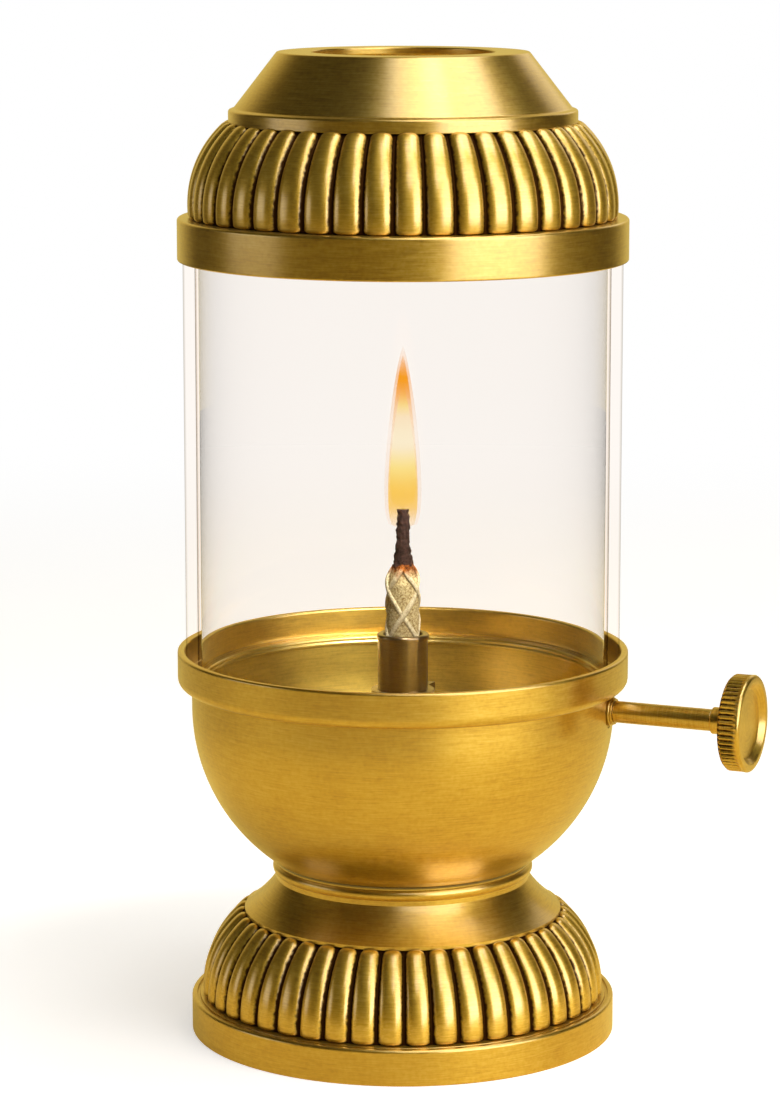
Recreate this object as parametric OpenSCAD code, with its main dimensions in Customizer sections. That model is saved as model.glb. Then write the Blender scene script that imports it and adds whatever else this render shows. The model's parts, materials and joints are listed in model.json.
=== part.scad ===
// Standing oil lamp with a glass chimney, a fluted stand and cap, and a wick that a side knob raises.
// Millimetres. +Z is up, the foot rests on z = 0 and the lamp's axis is the Z axis.
// The knob's spindle runs along +X, beside the wick tube.

/* [Stand] */
// Outer radius of the foot ring
foot_r = 47.4; // [45:0.1:52]
// Height of the foot ring
foot_h = 8; // [6:0.1:11]
// Width of the foot ring's section
foot_w = 7.4; // [6:0.1:9]
// Ledge of the foot ring that shows outside the flutes
foot_ledge = 2.4; // [1.8:0.1:3.2]
// Width and depth of the groove turned in that ledge
foot_groove = 0.6; // [0.4:0.1:0.8]
// Height of the stand's fluted dome
stand_dome_h = 18.6; // [16:0.1:20]
// Radius of the stand dome's outline, over the flutes
stand_arc_r = 23.7; // [22:0.1:26]
// Height of that outline's centre above the dome's foot
stand_arc_lift = 1; // [0:0.1:2]
// Number of flutes round the stand
stand_flutes = 46; // [36:1:56]
// Height of the neck between the stand and the bowl
neck_h = 12.2; // [10:0.1:16]
// Height of the neck's lower lip
neck_lip_h = 0.9; // [0.6:0.1:1.4]
// Height of the neck's hollow flare
neck_flare_h = 7.2; // [6:0.1:8]
// Radius of the hollow of that flare
neck_flare_r = 26; // [20:0.5:40]
// Radius of the bead under the bowl
neck_bead_r = 1.4; // [1:0.1:1.8]
// Wall of the neck
neck_wall = 4; // [3:0.1:5]

/* [Bowl] */
// Radius of the bowl's flat underside
bowl_foot_r = 28.4; // [26:0.1:31]
// Height of the bowl from the neck to the rim
bowl_h = 39.8; // [34:0.1:46]
// Height of the bowl's straight part under the rim
bowl_straight_h = 5.1; // [3:0.1:7]
// Thickness of the bowl's wall
bowl_wall = 1.8; // [1.4:0.1:2.4]
// Thickness of the bowl's floor
bowl_floor = 2.2; // [2:0.1:4]
// Step from the rim's outside in to the bowl's outside
bowl_step = 3.1; // [2.6:0.1:4]
// Depth of the bowl's lip in the rim's groove
lip_seat = 0.6; // [0.4:0.1:0.9]
// Height of the rim
rim_h = 7.9; // [6:0.1:11]
// Wall of the rim round the glass
rim_wall = 1.6; // [1.2:0.1:2.4]
// Thickness of the ledge that carries the glass
rim_ledge = 1.8; // [1.5:0.1:2.6]

/* [Chimney and cap] */
// Outer radius of the glass chimney
glass_r = 48.1; // [46.5:0.1:51]
// Wall of the glass chimney
glass_wall = 2.6; // [2:0.1:3.2]
// Height of the glass chimney
glass_h = 100.4; // [80:0.1:130]
// Height of the cap's plain collar
collar_h = 9.2; // [7:0.1:13]
// Wall of the collar round the glass
collar_wall = 0.9; // [0.8:0.1:1.6]
// Thickness of the collar's flange on the glass
collar_flange = 1.4; // [1:0.1:2]
// Ledge of the collar that shows outside the flutes
collar_ledge = 2.3; // [1.6:0.1:3.2]
// Height of the ring inside the dome that centres it on the collar
collar_spigot_h = 1.5; // [1:0.1:2.5]
// Height of the cap's fluted dome
cap_dome_h = 20.4; // [17:0.1:22]
// Radius of the cap dome's outline, over the flutes
cap_arc_r = 23.9; // [22.5:0.1:26]
// Height of that outline's centre above the dome's foot
cap_arc_lift = 2.8; // [2:0.1:4]
// Number of flutes round the cap
cap_flutes = 44; // [36:1:56]
// Share of each flute's pitch that is raised
flute_share = 0.76; // [0.6:0.02:0.9]
// Depth of the grooves between the flutes
flute_depth = 1.35; // [1:0.05:1.8]
// Wall of both domes, under the flutes
dome_wall = 2.2; // [1.8:0.1:3]
// Thickness of the flat flange at the top of both domes
dome_flange = 2; // [1.6:0.1:3]
// Height of the vent
vent_h = 15.4; // [12:0.1:20]
// Height of the vent's lip
vent_lip_h = 2.9; // [2:0.1:4]
// Overhang of that lip past the dome's top
vent_lip_out = 0.8; // [0.4:0.1:1.4]
// Width of the dome's flat top that the vent stands on
vent_seat = 6; // [4:0.1:8]
// Radius of the vent's flat top
vent_top_r = 27.4; // [25:0.1:30]
// Radius of the smoke hole
vent_hole_r = 20; // [16:0.1:22]
// Thickness of the vent's sheet
vent_sheet = 1.6; // [1.2:0.1:2]

/* [Wick and tube] */
// Diameter of the wick
wick_d = 8.2; // [6:0.1:9]
// Height of the wick's shoulder above the tube
wick_out = 14; // [8:0.1:18]
// Length of the charred end above the shoulder
wick_char_h = 13.8; // [8:0.1:18]
// Diameter where the char starts
wick_char_d = 5.1; // [4:0.1:6]
// Diameter of the charred tip
wick_tip_d = 2.7; // [2:0.1:3.5]
// Height of the wick's lower end above the tube's foot
wick_tail_z = 8; // [5:0.1:14]
// Space between the wick and the tube, on the radius
wick_gap = 0.25; // [0.2:0.05:0.4]
// Wall of the wick tube
tube_wall = 1.25; // [0.8:0.05:1.6]
// Height of the tube's mouth above the rim
tube_rise = 3.3; // [1:0.1:8]
// Height of the bead at the tube's mouth
tube_bead_h = 1.2; // [0.8:0.1:2]
// Radius of the socket's flange on the bowl's floor
socket_flange_r = 12; // [10:0.1:15]
// Thickness of that flange
socket_flange_t = 1.6; // [1.2:0.1:2.4]
// Wall of the socket
socket_wall = 1.8; // [1.4:0.1:2.4]
// Height of the oil well under the tube's foot
well_h = 3.4; // [3:0.1:5]
// Depth of the tube in the socket
socket_grip = 6; // [4:0.1:9]
// Radius of each oil port
port_r = 1.2; // [0.8:0.1:1.4]
// Number of oil ports
port_count = 4; // [3:1:6]

/* [Winder] */
// Depth of the spindle's axis under the rim
spindle_drop = 4.1; // [3.9:0.1:6]
// Radius of the spindle inside the bowl
spindle_r = 1.3; // [1:0.1:1.5]
// Radius of the spindle outside the bowl
spindle_shank_r = 2.4; // [2:0.1:2.7]
// Length of the spindle from the bush to the knob
spindle_reach = 22.5; // [15:0.1:30]
// Radius of the star wheel's teeth
star_tip_r = 3; // [2.6:0.1:3.6]
// Radius of the star wheel between its teeth
star_root_r = 2.1; // [1.9:0.1:2.3]
// Number of teeth of the star wheel
star_teeth = 10; // [8:1:12]
// Width of the star wheel
star_w = 2.6; // [2:0.1:3.2]
// Thickness of each cheek of the bracket
cheek_t = 2; // [1.6:0.1:2.6]
// Wall of the bracket round the tube and the spindle
bracket_wall = 1.4; // [1:0.1:2]
// Radius of the bush's body
bush_r = 2.5; // [2.2:0.1:2.7]
// Radius of the bush's flange
bush_flange_r = 3.2; // [2.9:0.1:3.4]
// Thickness of the bush's flange
bush_flange_t = 1.2; // [0.8:0.1:1.6]
// Depth of the flat cut in the bowl's side for that flange
spot_depth = 0.35; // [0.2:0.05:0.5]
// Radius of the boss in the bowl's side
boss_r = 3.8; // [3.6:0.1:3.8]
// Radius of the sealing washer and the thrust washer
washer_r = 2.9; // [2.8:0.1:3.4]
// Thickness of the sealing washer
seal_t = 1; // [0.6:0.1:1.5]
// Thickness of the thrust washer
thrust_t = 0.5; // [0.4:0.1:0.8]
// Width of the gland nut across its flats
nut_af = 6.4; // [6:0.1:7]
// Thickness of the gland nut
nut_t = 2; // [1.6:0.1:3]
// Radius of the knob's wheel
knob_r = 10.65; // [8:0.05:13]
// Width of the knob's wheel
knob_w = 5; // [4:0.1:7]
// Radius of the knob's hub
hub_r = 2.95; // [2.8:0.05:4]
// Length of the knob's hub
hub_l = 4.2; // [3:0.1:6]
// Width of the raised edge round the knob's face
knob_edge = 1.7; // [1.2:0.1:2.4]
// Depth of the dish in the knob's face
knob_dish = 1.3; // [0.8:0.1:1.8]
// Chamfer of the knob's wheel
knob_chamfer = 0.6; // [0.3:0.1:0.9]
// Number of knurls round the knob
knurl_count = 56; // [40:1:64]
// Depth of each knurl
knurl_depth = 0.45; // [0.3:0.05:0.6]
// Radius of the grub screw
grub_r = 0.9; // [0.7:0.1:1.1]

/* [Tie bolt] */
// Radius of the bolt that holds the lamp together
bolt_r = 3; // [2.5:0.1:4]
// Width of the bolt's head across its flats
bolt_af = 10; // [9:0.1:13]
// Height of the bolt's head
bolt_head_h = 4; // [3:0.1:5]
// Radius of the bolt's washer
bolt_washer_r = 6.4; // [6:0.1:9]
// Thickness of the bolt's washer
bolt_washer_t = 1.6; // [1:0.1:2]
// Thickness of the clamp plate
clamp_t = 2; // [1.5:0.1:3]
// Grip of the clamp plate on the dome's flange
clamp_grip = 6; // [4:0.1:8]
// Radius of the threaded boss under the bowl
bowl_boss_r = 8.5; // [6:0.1:12]
// Length of that boss
bowl_boss_h = 8; // [6:0.1:10]

/* [Fits] */
// Space round the glass in the rim and the collar
glass_gap = 0.3; // [0.3:0.05:0.6]
// Space between parts that turn in each other, on the radius
run_gap = 0.05; // [0.02:0.01:0.1]
// Space between parts that are brazed or screwed together
fit_gap = 0.05; // [0.02:0.01:0.1]
// Space between the star wheel and what it passes
star_gap = 0.15; // [0.1:0.05:0.3]
// Free width beside the star wheel and the bolt's shank
free_gap = 0.4; // [0.3:0.05:0.6]

/* [Hidden] */
$fn = 96;

// Colours
brass = "#b8953f";
dark_brass = "#8a6a2c";
steel = "#8d8d8a";
fibre = "#5a3a26";
cotton = "#d8c9a8";
clear_glass = [0.86, 0.9, 0.9, 0.35];

// Length by which a cut runs past what it cuts
over = 1;
// Chamfer of the turned edges, and other small steps
edge = 0.4;
// Depth by which each flute is sunk in the dome
flute_root = 0.4;
// Number of short cones that make up each of the dome's arcs
arc_steps = 6;
hex_sides = 6;

// Heights, from the floor up
neck_z = foot_h + stand_dome_h;
bowl_z = neck_z + neck_h;
floor_z = bowl_z + bowl_floor;
rim_z = bowl_z + bowl_h;
rim_top = rim_z + rim_h;
glass_z = rim_z + rim_ledge;
glass_top = glass_z + glass_h;
collar_top = glass_top + collar_flange;
collar_z = collar_top - collar_h;
vent_z = collar_top + cap_dome_h;
lamp_top = vent_z + vent_h;
clamp_top = neck_z - dome_flange;
clamp_z = clamp_top - clamp_t;
bolt_head_top = clamp_z - bolt_washer_t;

// Radii
band_in_r = glass_r + glass_gap;
rim_r = band_in_r + rim_wall;
collar_r = band_in_r + collar_wall;
bowl_r = rim_r - bowl_step;
bowl_in_r = bowl_r - bowl_wall;
ledge_in_r = bowl_in_r - edge;
stand_crest_r = foot_r - foot_ledge;
cap_crest_r = collar_r - collar_ledge;
neck_r = bowl_foot_r;
neck_in_r = neck_r - neck_wall;
neck_lip_r = dome_top_r(stand_crest_r, stand_arc_r, stand_dome_h - stand_arc_lift) + edge;
vent_lip_r = dome_top_r(cap_crest_r, cap_arc_r, cap_dome_h - cap_arc_lift) + vent_lip_out;
dome_foot_in_r = dome_inner_r(cap_crest_r, cap_arc_r, cap_arc_lift);
spigot_r = dome_foot_in_r - fit_gap;
spigot_in_r = spigot_r - collar_wall;
vent_spigot_r = vent_lip_r - vent_lip_out - vent_seat;
vent_spigot_in_r = vent_spigot_r - vent_sheet;
tube_in_r = wick_d / 2 + wick_gap;
tube_r = tube_in_r + tube_wall;
socket_in_r = tube_r + fit_gap;
tube_z = floor_z + socket_flange_t + well_h;
tube_top = rim_top + tube_rise;
wick_z = tube_z + wick_tail_z;

// Bowl's outline: an arc that runs up into the straight part
bowl_arc_h = bowl_h - bowl_straight_h;
bowl_arc_r = ((bowl_r - bowl_foot_r) ^ 2 + bowl_arc_h ^ 2) / (2 * (bowl_r - bowl_foot_r));
bowl_arc_z = bowl_z + bowl_arc_h;

// Places along the spindle
spindle_y = wick_d / 2 + star_gap + star_tip_r;
spindle_z = rim_z - spindle_drop;
fork_half = star_w / 2 + free_gap;
cheek_half = fork_half + cheek_t;
spot_x = chord(bowl_r, spindle_y) - spot_depth;
boss_in_x = chord(bowl_in_r, spindle_y + boss_r) - edge;
seal_x = boss_in_x - seal_t;
nut_x = seal_x - nut_t;
bush_x = nut_x - edge;
thrust_x = spot_x + bush_flange_t;
shank_x = thrust_x + thrust_t + run_gap;
hub_x = shank_x + spindle_reach;
wheel_x = hub_x + hub_l;
bore_end_x = wheel_x + knob_w / 2;

function chord(radius, offset) = sqrt(radius ^ 2 - offset ^ 2);
function dome_top_r(crest_r, arc_r, height) = crest_r - arc_r + chord(arc_r - flute_depth, height);
function dome_inner_r(crest_r, arc_r, height) =
    crest_r - arc_r + chord(arc_r - flute_depth - dome_wall, height);

// A plain ring with its lower face at z
module ring(outer, inner, z, height) {
    difference() {
        translate([0, 0, z]) cylinder(h = height, r = outer);
        translate([0, 0, z - over]) cylinder(h = height + 2 * over, r = inner);
    }
}

// Puts a shape that is drawn along +Z on the spindle's axis, starting at x
module on_spindle(x) {
    translate([x, spindle_y, spindle_z]) rotate([0, 90, 0]) children();
}

// A hexagonal prism, measured across its flats
module hexagon(flats, height) {
    cylinder(h = height, r = flats / 2 / cos(180 / hex_sides), $fn = hex_sides);
}

// Points along an arc in a section, in equal steps
function arc_points(centre, radius, from_angle, to_angle, steps = arc_steps) = [
    for (i = [0 : steps])
        let (angle = from_angle + (to_angle - from_angle) * i / steps)
            centre + radius * [cos(angle), sin(angle)]];

// Angle at which an arc of that radius, about a centre at height 0, reaches a height
function arc_angle(radius, height) = asin(height / radius);

// A hollow fluted dome that stands at z, with a flat flange round its open top
module fluted_dome(z, height, crest_r, arc_r, lift, open_r, count) {
    centre = [crest_r - arc_r, z + lift];
    core_r = arc_r - flute_depth;
    inner_r = core_r - dome_wall;
    root_r = core_r - flute_root;
    core_low = arc_angle(core_r, -lift);
    core_high = arc_angle(core_r, height - lift);
    flange_z = z + height - dome_flange;
    end_turn = 2 * flute_depth / core_r * 180 / PI;
    low = core_low + end_turn;
    high = core_high - end_turn;
    share = flute_share * 360 / count;
    union() {
        rotate_extrude() polygon(concat(
            arc_points(centre, core_r, core_low, core_high),
            [[open_r, z + height], [open_r, flange_z]],
            arc_points(centre, inner_r, arc_angle(inner_r, flange_z - centre[1]), arc_angle(inner_r, -lift))));
        for (i = [0 : count - 1])
            rotate([0, 0, i * 360 / count - share / 2]) rotate_extrude(angle = share) polygon(concat(
                arc_points(centre, arc_r, low, high),
                arc_points(centre, root_r, high + end_turn / 2, low - end_turn / 2)));
    }
}

// Plain turned ring that the lamp stands on, with a groove in its ledge
module foot_ring() {
    color(brass) difference() {
        rotate_extrude() polygon([
            [foot_r - foot_w, 0], [foot_r - edge, 0], [foot_r, edge], [foot_r, foot_h - edge],
            [foot_r - edge, foot_h], [foot_r - foot_w, foot_h]]);
        ring(foot_r - 2 * foot_groove, foot_r - 3 * foot_groove, foot_h - foot_groove, foot_groove + over);
    }
}

// Fluted dome of the stand
module base_dome() {
    color(brass) fluted_dome(foot_h, stand_dome_h, stand_crest_r, stand_arc_r, stand_arc_lift,
        neck_in_r, stand_flutes);
}

// Hollow neck: a lip, a concave flare and a bead under the bowl
module base_neck() {
    low = [neck_lip_r, neck_z + neck_lip_h];
    high = [neck_r, neck_z + neck_lip_h + neck_flare_h];
    across = high - low;
    half = norm(across) / 2;
    out = [across[1], -across[0]] / norm(across);
    centre = (low + high) / 2 + out * chord(neck_flare_r, half);
    color(brass) rotate_extrude() difference() {
        union() {
            polygon([
                [neck_in_r, neck_z], [neck_lip_r, neck_z], low, high,
                [neck_r, bowl_z], [neck_in_r, bowl_z]]);
            translate([neck_r - neck_bead_r / 2, bowl_z - neck_bead_r - edge]) circle(r = neck_bead_r);
        }
        intersection() {
            translate(centre) circle(r = neck_flare_r);
            translate([neck_r, low[1]]) square([neck_lip_r, neck_flare_h]);
        }
    }
}

// Plate that the bolt pulls up against the dome's flange
module clamp_plate() {
    color(steel) ring(neck_in_r + clamp_grip, bolt_r + free_gap, clamp_z, clamp_t);
}

module tie_washer() {
    color(steel) ring(bolt_washer_r, bolt_r + free_gap, bolt_head_top, bolt_washer_t);
}

// Bolt that pulls the stand, the neck and the bowl together
module tie_bolt() {
    shank_h = bowl_z - bolt_head_top;
    color(steel) union() {
        translate([0, 0, bolt_head_top - bolt_head_h]) hexagon(bolt_af, bolt_head_h);
        translate([0, 0, bolt_head_top]) cylinder(h = shank_h, r = bolt_r);
    }
}

// Section of a solid bowl whose outline is drawn in by inset, from a flat floor up to the top
module bowl_section(inset, from_z, to_z) {
    intersection() {
        translate([bowl_r - bowl_arc_r, bowl_arc_z]) circle(r = bowl_arc_r - inset);
        translate([0, from_z]) square([bowl_r + over, bowl_arc_z - from_z]);
    }
    translate([0, bowl_arc_z]) square([bowl_r - inset, to_z - bowl_arc_z]);
}

// Spun bowl with a threaded blind boss below and a boss for the gland in its side
module oil_bowl() {
    lip_top = rim_z + lip_seat;
    color(brass) difference() {
        union() {
            rotate_extrude() difference() {
                bowl_section(0, bowl_z, lip_top);
                bowl_section(bowl_wall, floor_z, lip_top + over);
            }
            translate([0, 0, bowl_z - bowl_boss_h]) cylinder(h = bowl_boss_h + edge, r = bowl_boss_r);
            on_spindle(boss_in_x) cylinder(h = spot_x - boss_in_x, r = boss_r);
        }
        translate([0, 0, bowl_z - bowl_boss_h - over])
            cylinder(h = bowl_boss_h + over + edge, r = bolt_r + fit_gap);
        on_spindle(spot_x) cylinder(h = bowl_step + over, r = boss_r);
        on_spindle(boss_in_x - over) cylinder(h = bowl_step + bowl_wall + over, r = bush_r + fit_gap);
    }
}

// Band on the bowl's lip, with the ledge that carries the glass
module bowl_rim() {
    color(brass) difference() {
        rotate_extrude() polygon([
            [ledge_in_r, rim_z], [rim_r - edge, rim_z], [rim_r, rim_z + edge], [rim_r, rim_top - edge],
            [rim_r - edge, rim_top], [band_in_r, rim_top], [band_in_r, glass_z], [ledge_in_r, glass_z]]);
        ring(bowl_r + fit_gap, bowl_in_r - fit_gap, rim_z - over, lip_seat + over);
    }
}

// Socket on the bowl's floor, with a blind well that oil enters through the ports
module tube_socket() {
    well_z = floor_z + socket_flange_t;
    color(brass) difference() {
        union() {
            translate([0, 0, floor_z]) cylinder(h = socket_flange_t, r = socket_flange_r);
            translate([0, 0, floor_z])
                cylinder(h = tube_z + socket_grip - floor_z, r = socket_in_r + socket_wall);
        }
        translate([0, 0, well_z]) cylinder(h = well_h + over, r = tube_in_r);
        translate([0, 0, tube_z]) cylinder(h = socket_grip + over, r = socket_in_r);
        for (i = [0 : port_count - 1])
            rotate([0, 0, (i + 0.5) * 360 / port_count]) translate([0, 0, well_z + well_h / 2])
                rotate([0, 90, 0]) cylinder(h = socket_in_r + socket_wall + over, r = port_r);
    }
}

// Tube that guides the wick, with a bead at its mouth and a slot for the star wheel
module wick_tube() {
    slot_half = chord(star_tip_r, spindle_y - tube_r) + free_gap;
    color(dark_brass) difference() {
        union() {
            translate([0, 0, tube_z]) cylinder(h = tube_top - tube_z, r = tube_r);
            translate([0, 0, tube_top - tube_bead_h]) cylinder(h = tube_bead_h, r = tube_r + edge / 2);
        }
        translate([0, 0, tube_z - over]) cylinder(h = tube_top - tube_z + 2 * over, r = tube_in_r);
        translate([-fork_half, tube_in_r / 2, spindle_z - slot_half])
            cube([2 * fork_half, tube_r, 2 * slot_half]);
    }
}

// Forked collar on the tube that carries the spindle's inner end
module spindle_bracket() {
    half_h = spindle_r + bracket_wall;
    back_y = spindle_y + spindle_r + bracket_wall;
    color(brass) difference() {
        union() {
            translate([0, 0, spindle_z - half_h]) cylinder(h = 2 * half_h, r = socket_in_r + bracket_wall);
            translate([-cheek_half, 0, spindle_z - half_h]) cube([2 * cheek_half, back_y, 2 * half_h]);
        }
        translate([0, 0, spindle_z - half_h - over]) cylinder(h = 2 * (half_h + over), r = socket_in_r);
        translate([-fork_half, tube_in_r / 2, spindle_z - half_h - over])
            cube([2 * fork_half, back_y, 2 * (half_h + over)]);
        on_spindle(-cheek_half - over) cylinder(h = 2 * (cheek_half + over), r = spindle_r + run_gap);
    }
}

// Flanged bush in the bowl's side
module gland_bush() {
    color(brass) difference() {
        union() {
            on_spindle(bush_x) cylinder(h = spot_x - bush_x, r = bush_r);
            on_spindle(spot_x) cylinder(h = bush_flange_t, r = bush_flange_r);
        }
        on_spindle(bush_x - over) cylinder(h = thrust_x - bush_x + 2 * over, r = spindle_r + run_gap);
    }
}

module thrust_washer() {
    color(brass) difference() {
        on_spindle(thrust_x) cylinder(h = thrust_t, r = washer_r);
        on_spindle(thrust_x - over) cylinder(h = thrust_t + 2 * over, r = spindle_r + run_gap);
    }
}

module gland_washer() {
    color(fibre) difference() {
        on_spindle(seal_x) cylinder(h = seal_t, r = washer_r + edge);
        on_spindle(seal_x - over) cylinder(h = seal_t + 2 * over, r = bush_r + fit_gap);
    }
}

module gland_nut() {
    color(brass) difference() {
        on_spindle(nut_x) hexagon(nut_af, nut_t);
        on_spindle(nut_x - over) cylinder(h = nut_t + 2 * over, r = bush_r + fit_gap);
    }
}

// Shaft from the bracket, through the bush, to the knob
module spindle() {
    inner_x = -cheek_half - edge;
    color(brass) union() {
        on_spindle(inner_x) cylinder(h = bore_end_x - inner_x, r = spindle_r);
        on_spindle(shank_x) cylinder(h = spindle_reach, r = spindle_shank_r);
    }
}

// Toothed wheel that bites the wick
module star_wheel() {
    outline = [for (i = [0 : 2 * star_teeth - 1])
        (i % 2 == 0 ? star_tip_r : star_root_r)
            * [cos(180 + i * 180 / star_teeth), sin(180 + i * 180 / star_teeth)]];
    color(brass) on_spindle(-star_w / 2) linear_extrude(height = star_w) difference() {
        polygon(outline);
        circle(r = spindle_r + fit_gap);
    }
}

// Knurled wheel with a dished face, on a hub with a tapped hole
module knob() {
    groove = knurl_depth * sqrt(2);
    dish_r = knob_r - knob_edge;
    color(brass) difference() {
        union() {
            on_spindle(hub_x) cylinder(h = hub_l + edge, r = hub_r);
            on_spindle(wheel_x) rotate_extrude() polygon([
                [0, 0], [knob_r - knob_chamfer, 0], [knob_r, knob_chamfer], [knob_r, knob_w - knob_chamfer],
                [knob_r - knob_chamfer, knob_w], [dish_r, knob_w], [dish_r - knob_dish, knob_w - knob_dish],
                [0, knob_w - knob_dish]]);
        }
        on_spindle(hub_x - over) cylinder(h = bore_end_x - hub_x + over, r = spindle_r + fit_gap);
        on_spindle(hub_x + hub_l / 2) rotate([0, 90, 0]) cylinder(h = hub_r + over, r = grub_r + fit_gap);
        for (i = [0 : knurl_count - 1])
            on_spindle(wheel_x - over) rotate([0, 0, i * 360 / knurl_count]) translate([knob_r, 0, 0])
                rotate([0, 0, 45]) translate([-groove / 2, -groove / 2, 0])
                    cube([groove, groove, knob_w + 2 * over]);
    }
}

// Screw in the underside of the hub that locks the knob on the spindle
module grub_screw() {
    color(steel) on_spindle(hub_x + hub_l / 2) rotate([0, 90, 0])
        translate([0, 0, spindle_r + fit_gap]) cylinder(h = hub_r - spindle_r - edge, r = grub_r);
}

// Round wick with a shoulder and a tapered charred end
module wick() {
    wick_r = wick_d / 2;
    shoulder_z = tube_top + wick_out;
    tip_z = shoulder_z + wick_char_h;
    color(cotton) rotate_extrude() polygon([
        [0, wick_z], [wick_r, wick_z], [wick_r, shoulder_z - edge], [wick_char_d / 2, shoulder_z + edge],
        [wick_tip_d / 2, tip_z - edge], [0, tip_z]]);
}

// Straight glass cylinder, open at both ends
module glass_chimney() {
    inner = glass_r - glass_wall;
    color(clear_glass) rotate_extrude() polygon([
        [inner + edge, glass_z], [glass_r - edge, glass_z], [glass_r, glass_z + edge],
        [glass_r, glass_top - edge], [glass_r - edge, glass_top], [inner + edge, glass_top],
        [inner, glass_top - edge], [inner, glass_z + edge]]);
}

// Band round the top of the glass, with a flange on it and a ring that centres the dome
module cap_collar() {
    color(brass) rotate_extrude() polygon([
        [band_in_r, collar_z], [collar_r, collar_z], [collar_r, collar_top - edge],
        [collar_r - edge, collar_top], [spigot_r, collar_top], [spigot_r, collar_top + collar_spigot_h],
        [spigot_in_r, collar_top + collar_spigot_h], [spigot_in_r, glass_top], [band_in_r, glass_top]]);
}

// Fluted dome of the cap
module cap_dome() {
    color(brass) fluted_dome(collar_top, cap_dome_h, cap_crest_r, cap_arc_r, cap_arc_lift,
        vent_spigot_r + fit_gap, cap_flutes);
}

// Cone with a lip below and a round smoke hole in its flat top
module cap_vent() {
    lip_top = vent_z + vent_lip_h;
    cone_z = lip_top + edge;
    cone_r = vent_lip_r - vent_lip_out - edge;
    slope = (cone_r - vent_top_r) / (lamp_top - edge - cone_z);
    sheet_r = vent_sheet * sqrt(1 + slope ^ 2);
    under_z = lamp_top - vent_sheet;
    floor_top = vent_z + vent_sheet;
    color(brass) rotate_extrude() polygon([
        [vent_spigot_r, vent_z], [vent_lip_r, vent_z], [vent_lip_r, lip_top], [cone_r, cone_z],
        [vent_top_r, lamp_top - edge], [vent_top_r - edge, lamp_top], [vent_hole_r, lamp_top],
        [vent_hole_r, under_z], [cone_r - sheet_r - slope * (under_z - cone_z), under_z],
        [cone_r - sheet_r, cone_z], [cone_r - sheet_r, floor_top], [vent_spigot_in_r, floor_top],
        [vent_spigot_in_r, vent_z - dome_flange], [vent_spigot_r, vent_z - dome_flange]]);
}

foot_ring();
base_dome();
base_neck();
clamp_plate();
tie_washer();
tie_bolt();
oil_bowl();
bowl_rim();
tube_socket();
wick_tube();
spindle_bracket();
gland_bush();
thrust_washer();
gland_washer();
gland_nut();
spindle();
star_wheel();
knob();
grub_screw();
wick();
glass_chimney();
cap_collar();
cap_dome();
cap_vent();
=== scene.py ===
import json
import math

import bpy
from bpy.props import FloatProperty, FloatVectorProperty, IntProperty, PointerProperty
from mathutils import Matrix, Vector


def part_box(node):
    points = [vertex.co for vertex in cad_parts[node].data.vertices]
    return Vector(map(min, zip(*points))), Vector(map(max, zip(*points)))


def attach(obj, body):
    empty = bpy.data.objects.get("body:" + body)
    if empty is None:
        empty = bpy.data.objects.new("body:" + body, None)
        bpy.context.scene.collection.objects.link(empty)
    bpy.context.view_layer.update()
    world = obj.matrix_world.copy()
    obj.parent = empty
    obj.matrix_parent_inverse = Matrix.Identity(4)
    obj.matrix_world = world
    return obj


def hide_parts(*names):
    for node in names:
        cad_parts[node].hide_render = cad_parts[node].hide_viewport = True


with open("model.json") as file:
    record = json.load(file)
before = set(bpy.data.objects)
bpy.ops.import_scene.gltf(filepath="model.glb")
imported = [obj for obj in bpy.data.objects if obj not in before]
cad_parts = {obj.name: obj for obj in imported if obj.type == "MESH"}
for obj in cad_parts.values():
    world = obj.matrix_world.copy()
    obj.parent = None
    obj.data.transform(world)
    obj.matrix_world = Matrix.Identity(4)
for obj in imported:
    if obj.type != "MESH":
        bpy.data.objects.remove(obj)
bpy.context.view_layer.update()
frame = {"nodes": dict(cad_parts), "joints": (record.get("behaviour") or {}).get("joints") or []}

bl_info = {
    "name": "Standing oil lamp",
    "version": (1, 0, 0),
    "blender": (4, 5, 0),
    "location": "3D View > Sidebar > Oil lamp",
    "description": "Models and finishes a brass oil lamp round its packed solids",
    "category": "Object",
}

MM = 0.001
# The point on the knob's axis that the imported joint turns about
KNOB_AXIS = next(Vector(j["pos_m"]) for j in frame["joints"] if j["name"] == "knob_turn")
FULL_TURN = 2 * math.pi
# Azimuth of the camera to the lamp's right, and the direction round the lamp's axis that faces it
VIEW = math.radians(23)
FRONT = VIEW - math.pi / 2
# Vertices closer than this are one vertex, in metres
WELD = 1e-6
# Faces round the broadest pieces, and round the small ones
BROAD = 192
SMALL = 64
# Faces that meet at less than this angle are shaded as one smooth surface
SMOOTH = math.radians(32)
# Gloss of the brass's lacquer, and of the patina in its grooves
LACQUER_ROUGHNESS = 0.22
LACQUER_IOR = 2.0
PATINA_ROUGHNESS = 0.62
# Share of a turn that lays the brass's highlights across its brushing lines
BRUSH_TURN = 0.25
# Index that bends light through the glass, and the share of its inner radius beyond which none is bent
GLASS_IOR = 1.25
GRAZING = 0.982
WHITE = (1, 1, 1)
# Dim light from the far floor, as linear red, green and blue
FAR_BOUNCE = (0.1, 0.08, 0.05)
# Brightness that the brass mirrors from the room and from the backdrop, where 1 is white
ROOM_LIGHT = 0.02
BACKDROP_LIGHT = 0.85


def linear(code):
    """An sRGB hex colour as linear red, green and blue."""
    channels = [int(code[i:i + 2], 16) / 255 for i in (1, 3, 5)]
    return tuple(c / 12.92 if c <= 0.04045 else ((c + 0.055) / 1.055) ** 2.4 for c in channels)


def length(name, description, millimetres):
    """A size property in metres whose default is written in millimetres."""
    return FloatProperty(name=name, description=description, default=millimetres * MM, min=0,
                         precision=5, unit="LENGTH", subtype="DISTANCE")


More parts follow.
